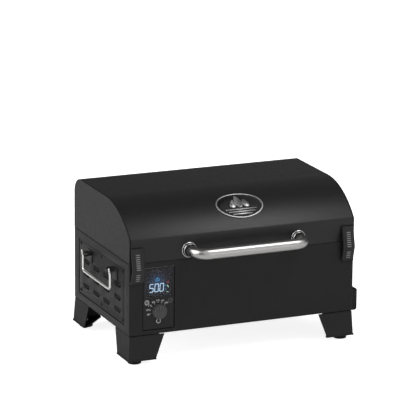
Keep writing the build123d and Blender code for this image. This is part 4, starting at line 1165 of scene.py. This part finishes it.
def make_display():
    """Screen with figures and small lamps behind the clear window."""
    low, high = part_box("display_window")
    inset = 0.3 * MM
    thickness = 0.4 * MM
    cover = box_shape(low, (high.x, low.y + thickness, high.z))
    finish_piece(cover, "display_cover", acrylic, "body", ["display_window"], bevel=0.1)
    screen_y = FACE_Y + 0.7
    near = at(0, screen_y, 0).y
    glass = box_shape(
        (low.x + inset, near, low.z + inset),
        (high.x - inset, near + thickness, high.z - inset),
    )
    finish_piece(glass, "display_screen", screen_dark, "body")
    figures = bmesh.new()
    add_number(figures, "500", 49.2, 98.6, 8.6, 18.0, 3.9, 0.78, screen_y)
    finish_piece(figures, "display_figures", digit_light, "body")
    degree = bmesh.new()
    add_stroke(degree, arc_points(89.0, 110.5, 1.4, 0, 360, 12), 0.35, screen_y)
    add_number(degree, "5", 87.5, 99.5, 2.4, 5.0, 1.0, 0.35, screen_y)
    finish_piece(degree, "display_unit", blue_light, "body")
    blue = [
        (arc_points(69.0, 126.0, 4.0, 200, -20, 12), 0.9),
        ([(65.0, 123.5), (73.0, 123.5)], 0.9),
        ([(69.0, 125.5), (69.0, 131.0)], 0.9),
    ]
    red = [(arc_points(94.5, 118.5, 2.2, 0, 360, 14), 0.7)]
    green = [([(93.0, 111.5), (95.5, 106.5)], 0.9), ([(91.5, 96.0), (95.5, 95.0)], 0.7)]
    for name, light, strokes in (
        ("display_lamp_blue", blue_light, blue),
        ("display_lamp_red", red_light, red),
        ("display_lamp_green", green_light, green),
    ):
        lamp = bmesh.new()
        for points, half in strokes:
            add_stroke(lamp, points, half, screen_y)
        finish_piece(lamp, name, light, "body")


copy_of("controller_fascia", "fascia_plate", fascia_plastic, bevel=0.5)
copy_of("controller_housing", "controller_box", dark_plastic, bevel=0.5)
make_knob()
make_buttons()
make_bezel_rings()
make_dial()
make_display()

# === Legs and feet ===

FOOT_INSET = 16.0
FOOT_PROFILE = [
    (3.0, 9.9), (14.6, 9.9), (15.0, 9.4), (15.1, 7.2), (14.4, 6.6), (14.4, 5.8), (15.5, 5.2),
    (15.9, 1.8), (15.4, 0.5), (14.4, 0.0), (7.0, 0.0), (7.0, 3.9), (3.0, 3.9),
]


def make_feet():
    """Moulded rubber feet with a groove round their waist."""
    shape = bmesh.new()
    low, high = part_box("feet")
    inset = FOOT_INSET * MM
    for x in (low.x + inset, high.x - inset):
        for y in (low.y + inset, high.y - inset):
            add_ring(shape, Vector((x, y, low.z)), (0, 0, 1), FOOT_PROFILE)
    finish_piece(shape, "rubber_feet", rubber_black, "body", ["feet"], angle=40)


make_feet()
copy_of("legs", "leg_brackets", coat, bevel=0.7, angle=25)
copy_of("foot_bolts", "foot_bolt_heads", zinc, bevel=0.3)

# === The other outer sheet metal keeps its CAD shape, with rounded edges ===

for node, bevel in (("hopper_shell", 0.6), ("hopper_lid", 0.5)):
    copy_of(node, node + "_sheet", hopper_coat, bevel=bevel, angle=25)
COATED = ("latch_bases", "latch_keepers", "grease_cup_bracket", "hinge_leaves_body", "hinge_leaves_lid")
for node in COATED:
    copy_of(node, node + "_sheet", coat, bevel=0.3)
copy_of("power_inlet", "power_socket", dark_plastic, bevel=0.4)
copy_of("grease_cup", "grease_cup_sheet", coat, bevel=0.35)
copy_of("cooking_grate", "cooking_grate_bars", enamel_black, bevel=0.8)
copy_of("broiler_slider", "broiler_slider_sheet", enamel_black, bevel=0.3)
copy_of("drip_tray", "drip_tray_sheet", enamel_black, bevel=0.3)

LEFT_AS_CAD = {
    "body_floor": coat,
    "body_rim": coat,
    "compartment_baffle": bare_steel,
    "grate_rails": bare_steel,
    "heat_deflector": fire_steel,
    "fire_pot": fire_steel,
    "igniter": bare_steel,
    "auger_tube": bare_steel,
    "auger_screw": bare_steel,
    "auger_motor": dark_plastic,
    "fan_housing": dark_plastic,
    "fan_impeller": dark_plastic,
    "temperature_probe": zinc,
    "grease_drain": bare_steel,
    "hopper_chute": bare_steel,
    "hopper_guard": bare_steel,
    "control_board": board_green,
    "knob_shaft": zinc,
    "handle_bolts": zinc,
    "hinge_pins": zinc,
    "latch_pins": zinc,
}
for node, material in LEFT_AS_CAD.items():
    part = frame["nodes"][node]
    part.data.materials.clear()
    part.data.materials.append(material)

# === Floor, light and camera ===

WHITE = (1.0, 1.0, 1.0, 1.0)
FLOOR_REACH = 14.0
FLOOR_DROP = 0.5 * MM
FLOOR_GLOW = 0.15
FLOOR_GLOW_SEEN = 0.86
SURROUND = 0.05
LIGHTS = (
    ("front_box", (0.385, -0.74, 0.52), 110, 1.60),
    ("key_box", (0.44, -0.40, 0.93), 30, 1.00),
    ("low_strip", (0.30, -0.95, 0.04), 16, 0.10),
    ("left_box", (-0.85, 0.10, 0.50), 60, 2.60),
    ("rear_box", (0.30, 0.86, 0.40), 60, 0.07),
)
CAMERA_YAW = 23.50
CAMERA_PITCH = 14.85
CAMERA_ROLL = 0.52
CAMERA_LENS = 253.4
CAMERA_PLACE = (-2270.46, -5614.50, 1925.91)


def seen_or_lighting(tree, socket, seen, lighting):
    """Give a stage shader's socket one value for the camera and another for lighting the object."""
    rays = tree.nodes.new("ShaderNodeLightPath")
    level = set_inputs(tree.nodes.new("ShaderNodeMapRange"), {"To Min": lighting, "To Max": seen})
    tree.links.new(rays.outputs["Is Camera Ray"], level.inputs["Value"])
    tree.links.new(level.outputs["Result"], socket)


def make_floor():
    """Flat pale floor, just clear of the feet."""
    finish = Finish("studio_floor", grey(0.72), 0.7, specular=0.1)
    finish.tint(finish.noise(1.2, detail=2), grey(0.71), grey(0.73))
    set_inputs(finish.shader, {"Emission Color": WHITE})
    seen_or_lighting(finish.tree, finish.shader.inputs["Emission Strength"], FLOOR_GLOW_SEEN, FLOOR_GLOW)
    shape = bmesh.new()
    bmesh.ops.create_grid(shape, x_segments=8, y_segments=8, size=FLOOR_REACH)
    floor = mesh_object(shape, "studio_floor")
    floor.data.materials.append(finish.material)
    floor.location.z = -FLOOR_DROP


def distant_light(name, toward, angle, strength):
    """Large far soft box, given by the direction from the object to it and how wide it looks."""
    lamp = bpy.data.lights.new(name, "SUN")
    lamp.angle = radians(angle)
    lamp.energy = strength
    holder = new_object(name, lamp)
    holder.rotation_euler = Vector(toward).to_track_quat("Z", "Y").to_euler()


def make_world():
    """White behind the object, and a dim room for everything the light itself doesn't reach."""
    world = bpy.context.scene.world or bpy.data.worlds.new("studio")
    bpy.context.scene.world = world
    world.use_nodes = True
    tree = world.node_tree
    background = set_inputs(tree.nodes["Background"], {"Color": WHITE})
    seen_or_lighting(tree, background.inputs["Strength"], 1.0, SURROUND)


def make_camera():
    """Long lens, seen from the front left and a little above."""
    camera = bpy.data.cameras.new("photo_view")
    camera.lens = CAMERA_LENS
    camera.sensor_width = 36.0
    holder = new_object("photo_view", camera)
    yaw, pitch = radians(CAMERA_YAW), radians(CAMERA_PITCH)
    forward = Vector((sin(yaw) * cos(pitch), cos(yaw) * cos(pitch), -sin(pitch)))
    upright = forward.to_track_quat("-Z", "Y")
    roll = Matrix.Rotation(radians(-CAMERA_ROLL), 4, forward)
    holder.matrix_world = Matrix.Translation(at(*CAMERA_PLACE)) @ roll @ upright.to_matrix().to_4x4()
    bpy.context.scene.camera = holder


make_floor()
make_world()
for light in LIGHTS:
    distant_light(*light)
make_camera()
bpy.context.scene.view_settings.view_transform = "Standard"
